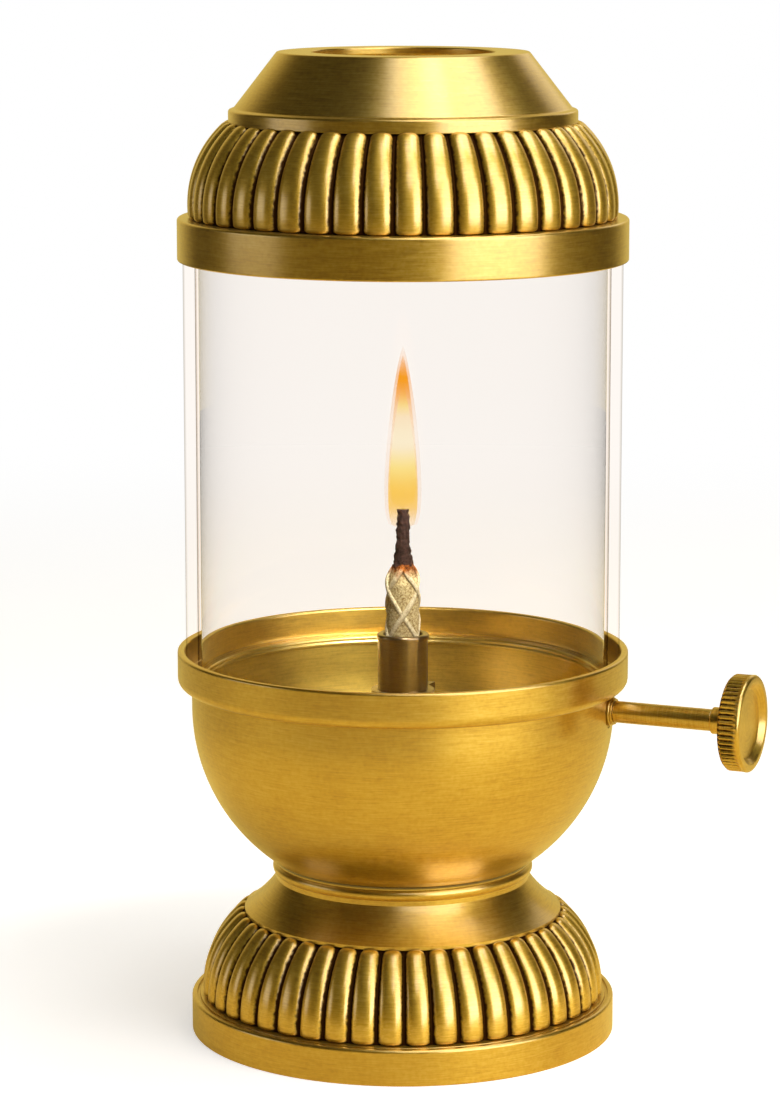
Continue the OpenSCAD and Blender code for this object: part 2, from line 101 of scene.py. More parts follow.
def number(name, description, default, least):
    """A count of repeated features."""
    return IntProperty(name=name, description=description, default=default, min=least)


def fraction(name, description, default, least=0, most=1):
    """A share of a whole."""
    return FloatProperty(name=name, description=description, default=default, min=least, max=most,
                         subtype="FACTOR")


def colour(name, description, code):
    """A colour property whose default is an sRGB hex value."""
    return FloatVectorProperty(name=name, description=description, default=linear(code), size=3,
                               min=0, max=1, subtype="COLOR")


class StandSizes(bpy.types.PropertyGroup):
    """Sizes of the foot ring and the neck."""
    foot_width: length("Foot width", "Width of the foot ring's section", 7.4)
    foot_groove: length("Foot groove", "Width and depth of the groove in the foot's ledge", 0.6)
    edge_round: length("Edge rounding", "Rounding of the turned outer edges", 0.7)
    fine_round: length("Fine rounding", "Rounding of the small turned edges", 0.25)
    neck_bore: length("Neck bore", "Inner radius of the neck", 24.4)
    neck_waist: length("Neck waist", "Radius of the neck under its bead", 28.4)
    neck_lip: length("Neck lip", "Height of the neck's lower lip", 0.9)
    neck_flare: length("Neck flare", "Height of the neck's hollow flare", 7.2)
    neck_hollow: length("Neck hollow", "Radius of the hollow of that flare", 26)
    neck_bead: length("Neck bead", "Radius of the bead under the bowl", 1.4)
    bead_gap: length("Bead gap", "Height between the bead and the bowl", 0.4)


class DomeSizes(bpy.types.PropertyGroup):
    """Sizes of the two fluted domes."""
    stand_arc: length("Stand arc", "Radius of the stand dome's outline, over the flutes", 23.7)
    stand_lift: length("Stand lift", "Height of that outline's centre above the dome's foot", 1)
    stand_flutes: number("Stand flutes", "Flutes round the stand", 46, 8)
    cap_arc: length("Cap arc", "Radius of the cap dome's outline, over the flutes", 23.9)
    cap_lift: length("Cap lift", "Height of that outline's centre above the dome's foot", 2.8)
    cap_flutes: number("Cap flutes", "Flutes round the cap", 44, 8)
    cap_opening: length("Cap opening", "Radius of the opening in the top of the cap's dome", 31.25)
    flute_depth: length("Flute depth", "Depth of the grooves between the flutes", 1.35)
    head_round: length("Head rounding", "Length over which the flutes' heads round off", 2.4)
    foot_round: length("Foot rounding", "Length over which the flutes' feet round off", 1.1)
    groove_share: fraction("Groove share", "Share of each pitch that its groove takes", 0.08, 0.02, 0.9)
    wall: length("Wall", "Wall of both domes, under the flutes", 2.2)
    flange: length("Flange", "Thickness of the flat flange at the top of both domes", 2)


class BowlSizes(bpy.types.PropertyGroup):
    """Sizes of the oil bowl and its rim."""
    foot: length("Foot", "Radius of the bowl's flat underside", 28.4)
    straight: length("Straight part", "Height of the straight part under the rim", 5.1)
    wall: length("Wall", "Thickness of the bowl's wall", 1.8)
    floor: length("Floor", "Thickness of the bowl's floor", 2.2)
    boss: length("Boss", "Radius of the threaded boss underneath", 8.5)
    bolt_hole: length("Bolt hole", "Radius of the hole in that boss", 3.05)
    bolt_depth: length("Bolt depth", "Depth by which that hole enters the floor", 0.4)
    gland_boss: length("Gland boss", "Radius of the boss round the gland", 3.8)
    gland_boss_in: length("Gland boss start", "Distance of that boss's inner face from the axis", 43.3)
    gland_hole: length("Gland hole", "Radius of the hole for the bush", 2.55)
    lip_fit: length("Lip fit", "Space between the bowl's lip and the rim's groove", 0.05)
    band_bore: length("Band bore", "Inner radius of the rim round the glass", 48.4)
    ledge_bore: length("Ledge bore", "Inner radius of the ledge that carries the glass", 44.7)
    ledge: length("Ledge", "Thickness of that ledge", 1.8)
    ledge_round: length("Ledge rounding", "Rounding of that ledge's inner edge", 0.5)
    edge_round: length("Edge rounding", "Rounding of the rim's upper edges", 0.5)
    low_round: length("Lower rounding", "Rounding of the rim's lower edge", 1.8)
    fine_round: length("Fine rounding", "Rounding of the small edges", 0.2)


class CapSizes(bpy.types.PropertyGroup):
    """Sizes of the glass chimney, the collar and the vent."""
    glass_wall: length("Glass wall", "Wall of the glass chimney", 2.6)
    glass_round: length("Glass rounding", "Fire-polished rounding of the glass's ends", 0.9)
    band_bore: length("Band bore", "Inner radius of the collar round the glass", 48.4)
    flange_bore: length("Flange bore", "Inner radius of the collar's flange", 42.3)
    spigot: length("Spigot", "Radius of the ring that centres the dome", 43.2)
    vent_spigot: length("Vent spigot", "Radius of the vent's ring inside the dome", 31.2)
    vent_lip: length("Vent lip", "Height of the vent's lip", 2.9)
    vent_step: length("Vent step", "Step from the lip in to the foot of the cone", 1.2)
    vent_top: length("Vent top", "Radius of the vent's flat top", 27.4)
    vent_hole: length("Smoke hole", "Radius of the smoke hole", 20)
    vent_sheet: length("Vent sheet", "Thickness of the vent's sheet", 1.6)
    edge_round: length("Edge rounding", "Rounding of the outer edges", 0.6)
    fine_round: length("Fine rounding", "Rounding of the small edges", 0.2)


class WickSizes(bpy.types.PropertyGroup):
    """Sizes of the wick, its tube and the flame."""
    tube_bore: length("Tube bore", "Inner radius of the wick tube", 4.35)
    tube_bead: length("Tube bead", "Step and rounding of the bead at the tube's mouth", 0.2)
    tube_bead_h: length("Bead height", "Height of that bead", 1.2)
    slot_width: length("Slot width", "Width of the tube's slot for the star wheel", 3.4)
    slot_height: length("Slot height", "Height of that slot", 5.8)
    wick_out: length("Wick out", "Height of the wick's shoulder above the tube", 14)
    shoulder: length("Shoulder", "Height over which the shoulder draws in", 2.6)
    char_foot: length("Char foot", "Radius of the charred end at the shoulder", 2.6)
    char_tip: length("Char tip", "Radius of the charred tip", 1.2)
    strands: number("Strands", "Strands that wind each way", 3, 2)
    climb: length("Climb", "Height that a strand climbs in one turn", 32.7)
    crossing: length("Crossing", "Height above the tube where two strands cross at the front", 4.4)
    strand_width: length("Strand width", "Width of a strand round the wick", 1.4)
    strand_thick: length("Strand thickness", "Thickness of a strand", 0.9)
    body: length("Body", "Radius of the wick inside its strands", 3.6)
    weave: length("Weave", "Height by which a strand passes over and under", 0.15)
    flame_low: length("Flame foot", "Depth of the flame's foot below the wick's tip", 5.1)
    flame_height: length("Flame height", "Height of the flame", 41.5)
    flame_width: length("Flame width", "Radius of the flame's outer veil", 4.1)
    flame_lean: length("Flame lean", "Distance by which the flame's foot lies behind the wick's tip", 3.4)
    lean_height: length("Lean height", "Height above the tip over which the flame comes upright", 10)


class WinderSizes(bpy.types.PropertyGroup):
    """Sizes of the spindle, its bush and the knob."""
    thin: length("Spindle", "Radius of the spindle inside the bowl and the knob", 1.3)
    bore: length("Bore", "Radius of the bores that the spindle runs in", 1.35)
    bush_body: length("Bush body", "Radius of the bush's body", 2.5)
    bush_flange: length("Bush flange", "Thickness of the bush's flange", 1.2)
    hub: length("Hub", "Radius of the knob's hub", 2.95)
    hub_length: length("Hub length", "Length of the knob's hub", 4.2)
    knob_edge: length("Knob edge", "Width of the raised edge round the knob's face", 1.7)
    knob_dish: length("Knob dish", "Depth of the dish in the knob's face", 1.3)
    chamfer: length("Chamfer", "Chamfer at the back of the knob's wheel", 0.6)
    knob_round: length("Knob rounding", "Rounding of the knob's raised edge", 0.75)
    knurls: number("Knurls", "Knurls round the knob", 56, 12)
    knurl_depth: length("Knurl depth", "Depth of each knurl", 0.5)
    knurl_stop: length("Knurl stop", "Plain width between the knurls and the face", 1)
    grub_hole: length("Grub hole", "Radius of the tapped hole in the hub", 0.95)
    fine_round: length("Fine rounding", "Rounding of the small turned edges", 0.25)


class LampColours(bpy.types.PropertyGroup):
    """Colours of the lamp's materials."""
    brass: colour("Brass", "Satin brass", "#D8AE36")
    brass_light: colour("Light brass", "Brass along the bright brushing lines", "#E5C052")
    brass_dark: colour("Dark brass", "Brass along the dark brushing lines", "#C3962A")
    # The bowl's inside is a paler, yellower copy of the brass: painted light for pale highlights and less
    # orange light between its walls
    inside: colour("Inside brass", "Brass of the bowl's inside, paler from spinning", "#D6B64C")
    # The patina colour also darkens the bowl's joint on the neck, as painted shade and old polish
    patina: colour("Patina", "Old polish and tarnish in the grooves", "#3C220A")
    tube: colour("Tube brass", "Dulled brass of the wick tube", "#86692A")
    steel: colour("Steel", "Zinc-plated steel of the fasteners", "#9A9A96")
    fibre: colour("Fibre", "Vulcanised fibre of the sealing washer", "#7A3B2A")
    # The cord colour is cotton painted paler, as a highlight on the raised cords
    cord_highlight: colour("Cord", "Clean cotton of the raised cords", "#E2D8B4")
    cotton: colour("Cotton", "Clean cotton", "#C9B886")
    # The cotton shade darkens the body between the raised cords, as painted shade
    cotton_shade: colour("Cotton shade", "Oiled cotton between the threads", "#7E6232")
    scorch: colour("Scorch", "Scorched cotton", "#B0681F")
    char: colour("Char", "Charred cotton", "#3A241B")
    glass: colour("Glass", "Clear glass", "#FFFCF9")
    # The two glass edge colours are painted shade, for the dark refraction where the glass's faces turn
    # edge-on
    glass_edge_shade: colour("Glass edge", "Glass where its outer face turns edge-on", "#DDD9D3")
    glass_inner_edge_shade: colour("Glass inner edge", "Glass where its inner face turns edge-on", "#B9B0A3")
    flame_core: colour("Flame core", "Palest part of the flame", "#FEFAE4")
    flame_pale: colour("Flame pale", "Pale yellow of the flame", "#FFF7A8")
    flame_body: colour("Flame body", "Yellow of the flame's foot", "#FDCB40")
    flame_tip: colour("Flame tip", "Orange of the flame's tip", "#F9A00A")
    flame_halo: colour("Flame halo", "Peach edge of the flame", "#F7BE7E")
    floor: colour("Floor", "Pale floor", "#F4F2EF")
    bounce: colour("Bounce", "Warm light that the floor and the room throw back at the brass", "#EBD274")
    floor_lift: fraction("Floor lift", "Light that the floor adds where it is seen", 0.54)
    floor_glow: fraction("Floor glow", "Light that the floor adds where brass mirrors it", 0.25)


# Modelling helpers

def spread(start, end, steps):
    """Evenly spaced values from start to end."""
    return [start + (end - start) * i / steps for i in range(steps + 1)]


def clamp(value):
    """A value kept between 0 and 1."""
    return min(1, max(0, value))


def arc(centre, radius, start, end, steps):
    """Points along an arc in a section, as corners with no rounding."""
    return [(centre[0] + radius * math.cos(turn), centre[1] + radius * math.sin(turn), 0)
            for turn in spread(start, end, steps)]


def rounded(corners, closed=True, steps=5):
    """An outline through corners (radius, height, rounding), with each rounding drawn as an arc.

    A holding point on each side of an arc keeps the shading flat on the straights next to it.
    """
    points = []
    for i, (radius, height, rounding) in enumerate(corners):
        here = Vector((radius, height))
        at_end = not closed and i in (0, len(corners) - 1)
        if rounding == 0 or at_end:
            points.append(here)
            continue
        before = (Vector(corners[i - 1][:2]) - here).normalized()
        after = (Vector(corners[(i + 1) % len(corners)][:2]) - here).normalized()
        half = before.angle(after) / 2
        centre = here + (before + after).normalized() * (rounding / math.sin(half))
        reach = rounding / math.tan(half)
        first = (here + before * reach - centre).normalized()
        last = (here + after * reach - centre).normalized()
        hold = reach + rounding / 4
        points.append(here + before * hold)
        points += [centre + first.slerp(last, k / steps) * rounding for k in range(steps + 1)]
        points.append(here + after * hold)
    return points


def upright(point, angle=0):
    """A section's point in the half plane through the lamp's axis at that angle."""
    return Vector((point[0] * math.cos(angle), point[0] * math.sin(angle), point[1]))


def along_spindle(point):
    """A section's point over the spindle's axis, with the section's height along it."""
    return Vector((point[1], KNOB_AXIS.y, KNOB_AXIS.z + point[0]))


def turning(lying):
    """The axis that a spin goes round: the spindle's for a lying piece, or else the lamp's."""
    if lying:
        return {"center": (0, KNOB_AXIS.y, KNOB_AXIS.z), "axis": (1, 0, 0)}
    return {"center": (0, 0, 0), "axis": (0, 0, 1)}


def merge_doubles(distance=WELD):
    """Merges the doubled vertices of the piece that is in edit mode."""
    bpy.ops.mesh.select_all(action="SELECT")
    bpy.ops.mesh.remove_doubles(threshold=distance)


def close_piece(smooth, distance=WELD):
    """Merges doubled vertices, turns the faces outwards, leaves edit mode and smooths the shading."""
    merge_doubles(distance)
    bpy.ops.mesh.normals_make_consistent(inside=False)
    bpy.ops.object.mode_set(mode="OBJECT")
    bpy.ops.object.shade_smooth_by_angle(angle=smooth)


def draw_outline(name, points, on_axis, closed):
    """Starts a piece as one vertex and extrudes it from point to point. Leaves edit mode on."""
    bpy.ops.object.select_all(action="DESELECT")
    bpy.ops.mesh.primitive_plane_add(size=MM, enter_editmode=True, location=(0, 0, 0))
    piece = bpy.context.object
    piece.name = name
    piece.data.name = name
    bpy.ops.mesh.merge(type="CENTER")
    route = [on_axis(p) for p in points]
    if closed:
        route.append(route[0])
    bpy.ops.transform.translate(value=route[0])
    for here, there in zip(route, route[1:]):
        bpy.ops.mesh.extrude_vertices_move(TRANSFORM_OT_translate={"value": there - here})
    merge_doubles()
    bpy.ops.mesh.select_all(action="SELECT")
    return piece


def turn_piece(name, points, lying=False, closed=True, steps=144):
    """Turns an outline of radius and height points round the lamp's axis, or round the spindle's."""
    piece = draw_outline(name, points, along_spindle if lying else upright, closed)
    bpy.ops.mesh.spin(steps=steps, angle=FULL_TURN, use_auto_merge=True, **turning(lying))
    close_piece(SMOOTH)
    return piece


def turn_pitch(piece, pitch, columns, lying=False):
    """Turns a piece's outline through one pitch, leaves edit mode and starts its groove attribute."""
    bpy.ops.mesh.spin(steps=columns, angle=pitch, **turning(lying))
    merge_doubles()
    bpy.ops.object.mode_set(mode="OBJECT")
    return piece.data.attributes.new("groove", "FLOAT", "POINT")


def copy_round(count, lying=False):
    """Copies what is selected round its axis, until there are as many as the count."""
    bpy.ops.mesh.spin(steps=count - 1, dupli=True, angle=FULL_TURN * (count - 1) / count, **turning(lying))


def repeat_round(piece, count, smooth, lying=False):
    """Copies one pitch of a piece round its axis and joins the copies to each other."""
    bpy.ops.object.mode_set(mode="EDIT")
    bpy.ops.mesh.select_all(action="SELECT")
    copy_round(count, lying)
    close_piece(smooth, 5 * WELD)
    return piece


def cut(piece, tool, operation="DIFFERENCE"):
    """Cuts a piece with a tool, or joins the tool on, and removes the tool."""
    modifier = piece.modifiers.new("cut", "BOOLEAN")
    modifier.object = tool
    modifier.operation = operation
    modifier.solver = "EXACT"
    bpy.ops.object.select_all(action="DESELECT")
    piece.select_set(True)
    bpy.context.view_layer.objects.active = piece
    bpy.ops.object.modifier_apply(modifier="cut")
    bpy.data.objects.remove(tool)
    bpy.ops.object.shade_smooth_by_angle(angle=SMOOTH)


def join(name, pieces):
    """Joins pieces into the first one."""
    bpy.ops.object.select_all(action="DESELECT")
    for piece in pieces:
        piece.select_set(True)
    bpy.context.view_layer.objects.active = pieces[0]
    bpy.ops.object.join()
    pieces[0].name = name
    return pieces[0]


def cover(piece, material):
    """Gives a piece one material."""
    piece.data.materials.clear()
    piece.data.materials.append(material)


def hand_over(piece, material, body, slot, *nodes):
    """Gives a finished piece its material, hangs it under the empty of the body that it rides on, and hides
    the packed parts that it stands for.
    """
    if material:
        cover(piece, material)
    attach(piece, body)
    if nodes:
        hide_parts(*nodes)


# Nodes

def add(tree, kind, inputs=None, stops=(), **settings):
    """Adds a shader node with its settings, and fills or links its inputs."""
    made = tree.nodes.new("ShaderNode" + kind)
    for key, value in settings.items():
        setattr(made, key, value)
    for key, value in (inputs or {}).items():
        socket = made.inputs[key]
        if isinstance(value, bpy.types.Node):
            value = value.outputs[0]
        if isinstance(value, bpy.types.NodeSocket):
            tree.links.new(value, socket)
        elif socket.type == "RGBA" and len(value) == 3:
            socket.default_value = (*value, 1)
        else:
            socket.default_value = value
    for i, (place, shade) in enumerate(stops):
        elements = made.color_ramp.elements
        element = elements[i] if i < len(elements) else elements.new(place)
        element.position = place
        element.color = (*shade, 1)
    return made


def off_axis(tree, place):
    """Distance of a place from the upright axis."""
    across = add(tree, "VectorMath", {0: place, 1: (1, 1, 0)}, operation="MULTIPLY")
    return add(tree, "VectorMath", {0: across}, operation="LENGTH").outputs["Value"]


def first_sight(tree):
    """1 for what the eye meets straight or through the glass, and 0 for what lights or is mirrored."""
    path = add(tree, "LightPath").outputs
    bounces = path["Is Shadow Ray"]
    for depth in ("Glossy Depth", "Diffuse Depth"):
        bounces = add(tree, "Math", {0: bounces, 1: path[depth]}, operation="ADD")
    return add(tree, "Math", {0: bounces, 1: 0.5}, operation="LESS_THAN")


def start_material(name):
    """An empty material with its node tree and the piece's own coordinates."""
    material = bpy.data.materials.new(name)
    material.use_nodes = True
    tree = material.node_tree
    tree.nodes.clear()
    return material, tree, add(tree, "TexCoord").outputs["Object"]


def scaled(shade, *shares):
    """A colour made darker or lighter by each share."""
    return [tuple(part * share for part in shade) for share in shares]


def brass_shades(colours, share=1):
    """The dark, middle and light shades of the satin brass, each made darker or lighter by a share."""
    return [scaled(shade, share)[0] for shade in (colours.brass_dark, colours.brass, colours.brass_light)]


# Materials

def turned_brass(name, shades, roughness=0.36, lying=False, grooves=None, shaded_joint=None, brushed=0.5):
    """Brass turned on a lathe and brushed to a satin grain, under a thin lacquer.

    The eye sees broad soft highlights drawn out along the height, fine lines that run round the piece,
    slight clouds of tone from old polish, and dark patina in the hollows where the piece has a groove
    attribute. At a shaded joint it sees a dark band of painted shade and old polish.
    """
    if name in bpy.data.materials:
        return bpy.data.materials[name]
    material, tree, place = start_material(name)
    if lying:
        place = add(tree, "Mapping", {"Vector": place, "Rotation": (0, -math.pi / 2, 0),
                                      "Location": (KNOB_AXIS.z, -KNOB_AXIS.y, 0)})
    # Brushing lines are 0.05 mm wide on the real piece; 0.3 mm is as fine as the render can show
    line = 0.3 * MM
    scratch = 5 * MM
    cloud = 16 * MM
    speck = 0.9 * MM
    rings = add(tree, "Math", {0: off_axis(tree, place), 1: 1 / line}, operation="MULTIPLY")
    stretched = add(tree, "VectorMath", {0: place, 1: (1 / scratch, 1 / scratch, 1 / line)},
                    operation="MULTIPLY")
    grain = add(tree, "TexNoise", {"Vector": stretched, "W": rings, "Scale": 1, "Detail": 3,
                                   "Roughness": 0.65}, noise_dimensions="4D")
    clouds = add(tree, "TexNoise", {"Vector": place, "Scale": 1 / cloud, "Detail": 4, "Roughness": 0.6})
    specks = add(tree, "TexNoise", {"Vector": place, "Scale": 1 / speck})
    # The tone is made of shares of the brushing, the clouds and the specks
    tone = 0.05
    for pattern, share in ((grain, 0.5), (clouds, 0.2), (specks, 0.2)):
        tone = add(tree, "Math", {0: pattern, 1: share, 2: tone}, operation="MULTIPLY_ADD")
    shade = add(tree, "ValToRGB", {"Fac": tone}, stops=zip((0.37, 0.5, 0.63), shades))
    rough = add(tree, "MapRange", {"Value": grain, "From Min": 0.3, "From Max": 0.7,
                                   "To Min": roughness - 0.04, "To Max": roughness + 0.05})
    lacquer = 1
    if shaded_joint is not None:
        # A band half a millimetre high at the joint, darkened as painted shade where the bowl meets the
        # neck, and with old polish
        height = add(tree, "SeparateXYZ", {0: place}).outputs["Z"]
        above = add(tree, "Math", {0: height, 1: shaded_joint}, operation="SUBTRACT")
        off = add(tree, "Math", {0: above}, operation="ABSOLUTE")
        patina_and_shade = add(tree, "MapRange", {"Value": off, "From Min": 0.2 * MM, "From Max": 0.5 * MM,
                                      "To Min": 0.9, "To Max": 0})
        shade = add(tree, "Mix", {0: patina_and_shade, 6: shade, 7: grooves}, data_type="RGBA").outputs[2]
    elif grooves:
        # Patina fills the hollows to an uneven edge, and the lacquer is worn off it
        depth = add(tree, "Attribute", attribute_name="groove").outputs["Fac"]
        uneven = add(tree, "Math", {0: specks, 1: 0.5, 2: -0.25}, operation="MULTIPLY_ADD")
        filled = add(tree, "Math", {0: depth, 1: uneven}, operation="ADD")
        patina_and_shade = add(tree, "MapRange", {"Value": filled, "From Min": 0.46, "From Max": 0.88},
                   interpolation_type="SMOOTHSTEP")
        shade = add(tree, "Mix", {0: patina_and_shade, 6: shade, 7: grooves}, data_type="RGBA").outputs[2]
        rough = add(tree, "Mix", {0: patina_and_shade, 2: rough, 3: PATINA_ROUGHNESS})
        lacquer = add(tree, "Math", {0: 1, 1: patina_and_shade}, operation="SUBTRACT")
    bump = add(tree, "Bump", {"Strength": 0.1, "Distance": 0.02 * MM, "Height": grain})
    surface = {"Base Color": shade, "Metallic": 1, "Roughness": rough, "Normal": bump,
               "Coat Weight": lacquer, "Coat Roughness": LACQUER_ROUGHNESS, "Coat IOR": LACQUER_IOR}
    if brushed:
        # Lines round the piece spread a highlight along its height and keep it narrow round it
        round_axis = add(tree, "Tangent", direction_type="RADIAL", axis="X" if lying else "Z")
        surface |= {"Anisotropic": brushed, "Anisotropic Rotation": BRUSH_TURN, "Tangent": round_axis}
    add(tree, "OutputMaterial", {"Surface": add(tree, "BsdfPrincipled", surface)})
    return material


def satin(colours):
    """Satin brass of the pieces turned round the lamp's axis, with painted shade and old polish at the
    bowl's joint on the neck.
    """
    return turned_brass("lathe-turned satin brass", brass_shades(colours), grooves=colours.patina[:],
                        shaded_joint=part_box("base_neck")[1].z)


def darkened_satin(colours):
    """Satin brass of the spindle and its bush, a darker copy of the satin brass as painted shade."""
    # The shades are darkened by a share, as painted shade
    return turned_brass("lathe-turned satin brass, painted darker", brass_shades(colours, 0.85),
                        lying=True)


def knurled(colours):
    """Satin brass of the knob, with patina between its knurls."""
    return turned_brass("knurled satin brass", brass_shades(colours), lying=True, grooves=colours.patina[:])


def pale_painted_inside(colours):
    """Brass of the bowl's inside, a paler and yellower copy of the brass: painted light for its pale
    highlights and for less orange light between its walls.
    """
    return turned_brass("brass inside, painted paler", scaled(colours.inside, 0.8, 1, 1.15), roughness=0.35)


def fluted(colours):
    """Satin brass of the pressed domes, a lighter copy of the satin brass as painted light, with patina
    left in the grooves.
    """
    # The shades are lightened by a share, as painted light
    return turned_brass("pressed satin brass, painted lighter, with patina", brass_shades(colours, 1.12), roughness=0.42,
                        grooves=colours.patina[:], brushed=0)


def dulled(colours):
    """Dulled brass of the wick tube and the pieces in the bowl."""
    return turned_brass("drawn brass dulled by oil", scaled(colours.tube, 0.85, 1, 1.15), roughness=0.32,
                        brushed=0.9)


def line_inside(piece, material):
    """Gives the faces that look towards the lamp's axis, and the bowl's floor, a material of their own."""
    piece.data.materials.append(material)
    level = 0.9
    rim_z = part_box("bowl_rim")[0].z
    for face in piece.data.polygons:
        towards_axis = face.normal.x * face.center.x + face.normal.y * face.center.y < -WELD
        on_floor = face.normal.z > level and face.center.z < rim_z
        if towards_axis or on_floor:
            face.material_index = 1


def plated_steel(colours):
    """Zinc-plated steel of the fasteners: grey, matt and a little blotched."""
    material, tree, place = start_material("zinc-plated steel")
    patch = 3 * MM
    blotch = add(tree, "TexNoise", {"Vector": place, "Scale": 1 / patch, "Detail": 4})
    shade = add(tree, "ValToRGB", {"Fac": blotch}, stops=zip((0.3, 0.7), scaled(colours.steel, 0.6, 1)))
    rough = add(tree, "MapRange", {"Value": blotch, "To Min": 0.32, "To Max": 0.52})
    steel = add(tree, "BsdfPrincipled", {"Base Color": shade, "Metallic": 1, "Roughness": rough})
    add(tree, "OutputMaterial", {"Surface": steel})
    return material


def pressed_fibre(colours):
    """Vulcanised fibre: dense red-brown paper with a dull, faintly flecked face."""
    material, tree, place = start_material("vulcanised fibre")
    grit = 0.5 * MM
    fleck = add(tree, "TexNoise", {"Vector": place, "Scale": 1 / grit, "Detail": 3})
    shade = add(tree, "ValToRGB", {"Fac": fleck}, stops=zip((0.35, 0.65), scaled(colours.fibre, 0.55, 1)))
    bump = add(tree, "Bump", {"Strength": 0.3, "Distance": 0.05 * MM, "Height": fleck})
    fibre = add(tree, "BsdfPrincipled", {"Base Color": shade, "Roughness": 0.7, "Normal": bump})
    add(tree, "OutputMaterial", {"Surface": fibre})
    return material


def braided_cotton(colours, shoulder_z):
    """Braided cotton, scorched brown below and charred above its shoulder.

    The eye sees raised cords painted paler than the oiled, knotty body between them, as a painted highlight
    on the cords and painted shade between, then a short brown scorch and a crumbled matt brown-black end.
    """
    material, tree, place = start_material("braided cotton, charred at the end")
    # Threads are 0.2 mm thick on the real wick; 0.5 mm is as fine as the render can show
    thread = 0.5 * MM
    lump = 1.1 * MM
    fibres = add(tree, "TexNoise", {"Vector": place, "Scale": 1 / thread, "Detail": 3, "Roughness": 0.7})
    # The burn climbs to a ragged edge
    lumps = add(tree, "TexNoise", {"Vector": place, "Scale": 1 / lump, "Detail": 3})
    height = add(tree, "SeparateXYZ", {0: place}).outputs["Z"]
    ragged = add(tree, "Math", {0: lumps, 1: 5 * MM, 2: height}, operation="MULTIPLY_ADD")
    burnt = add(tree, "MapRange", {"Value": ragged, "From Min": shoulder_z + 0.5 * MM,
                                   "From Max": shoulder_z + 7 * MM})
    body = add(tree, "ValToRGB", {"Fac": fibres},
               stops=((0.36, colours.cotton_shade), (0.6, colours.cotton)))
    # The raised cords are painted paler than the body, as a highlight on their relief
    cord_highlight = add(tree, "Attribute", attribute_name="cord_highlight").outputs["Fac"]
    worn = add(tree, "Math", {0: cord_highlight, 1: fibres}, operation="MULTIPLY")
    clean = add(tree, "Mix", {0: worn, 6: body, 7: colours.cord_highlight[:]}, data_type="RGBA").outputs[2]
    heat = add(tree, "ValToRGB", {"Fac": burnt}, stops=((0.1, WHITE), (0.42, colours.scorch)))
    shade = add(tree, "Mix", {0: 1, 6: clean, 7: heat}, data_type="RGBA", blend_type="MULTIPLY").outputs[2]
    coal = add(tree, "ValToRGB", {"Fac": fibres}, stops=zip((0.4, 0.64), scaled(colours.char, 0.3, 1)))
    charred = add(tree, "MapRange", {"Value": burnt, "From Min": 0.46, "From Max": 0.58})
    shade = add(tree, "Mix", {0: charred, 6: shade, 7: coal}, data_type="RGBA").outputs[2]
    bump = add(tree, "Bump", {"Strength": 0.8, "Distance": 0.3 * MM, "Height": fibres})
    cotton = add(tree, "BsdfPrincipled", {"Base Color": shade, "Roughness": 0.9,
                                          "Specular IOR Level": 0.2, "Normal": bump})
    add(tree, "OutputMaterial", {"Surface": cotton})
    return material


def clear_glass(colours, inner, outer, low_z, high_z):
    """Clear drawn glass: bright, with thin grey lines of painted shade where its two faces turn edge-on.

    A ray that only grazes the inner face goes straight on, so that the wall's sides stay as light as the
    background. So does one that meets a fire-polished end, and light on its way to the brass and from it.
    """
    material, tree, place = start_material("clear drawn glass")
    smear = 22 * MM
    smears = add(tree, "TexNoise", {"Vector": place, "Scale": 1 / smear, "Detail": 3})
    rough = add(tree, "MapRange", {"Value": smears, "From Min": 0.45, "From Max": 0.75, "To Max": 0.03})
    glass = add(tree, "BsdfPrincipled", {"Base Color": colours.glass[:], "Roughness": rough,
                                         "IOR": GLASS_IOR, "Transmission Weight": 1})
    # How far a ray's line passes from the axis, from the angle at which it meets the wall
    radius = off_axis(tree, place)
    turned_away = add(tree, "LayerWeight").outputs["Facing"]
    square_on = add(tree, "Math", {0: 1, 1: turned_away}, operation="SUBTRACT")
    angle = add(tree, "Math", {0: square_on}, operation="ARCCOSINE")
    sine = add(tree, "Math", {0: angle}, operation="SINE")
    passing = add(tree, "Math", {0: radius, 1: sine}, operation="MULTIPLY")
    straight = add(tree, "Math", {0: passing, 1: GRAZING * inner}, operation="GREATER_THAN")
    height = add(tree, "SeparateXYZ", {0: place}).outputs["Z"]
    at_foot = add(tree, "Math", {0: height, 1: low_z}, operation="LESS_THAN")
    at_head = add(tree, "Math", {0: height, 1: high_z}, operation="GREATER_THAN")
    for at_end in (at_foot, at_head):
        straight = add(tree, "Math", {0: straight, 1: at_end}, operation="MAXIMUM")
    seen = first_sight(tree)
    # Faces that turn edge-on are tinted grey: painted shade for the dark refraction at the wall's sides
    line = add(tree, "MapRange", {"Value": square_on, "From Min": 0.02, "From Max": 0.15,
                                  "To Min": seen, "To Max": 0})
    mid_wall = (inner + outer) / 2
    on_outer = add(tree, "Math", {0: radius, 1: mid_wall}, operation="GREATER_THAN")
    edge = add(tree, "Mix", {0: on_outer, 6: colours.glass_inner_edge_shade[:], 7: colours.glass_edge_shade[:]},
               data_type="RGBA").outputs[2]
    tint = add(tree, "Mix", {0: line, 6: colours.glass[:], 7: edge}, data_type="RGBA").outputs[2]
    through = add(tree, "BsdfTransparent", {"Color": tint})
    bent = add(tree, "Math", {0: seen, 1: straight}, operation="GREATER_THAN")
    wall = add(tree, "MixShader", {0: bent, 1: through, 2: glass})
    add(tree, "OutputMaterial", {"Surface": wall})
    return material


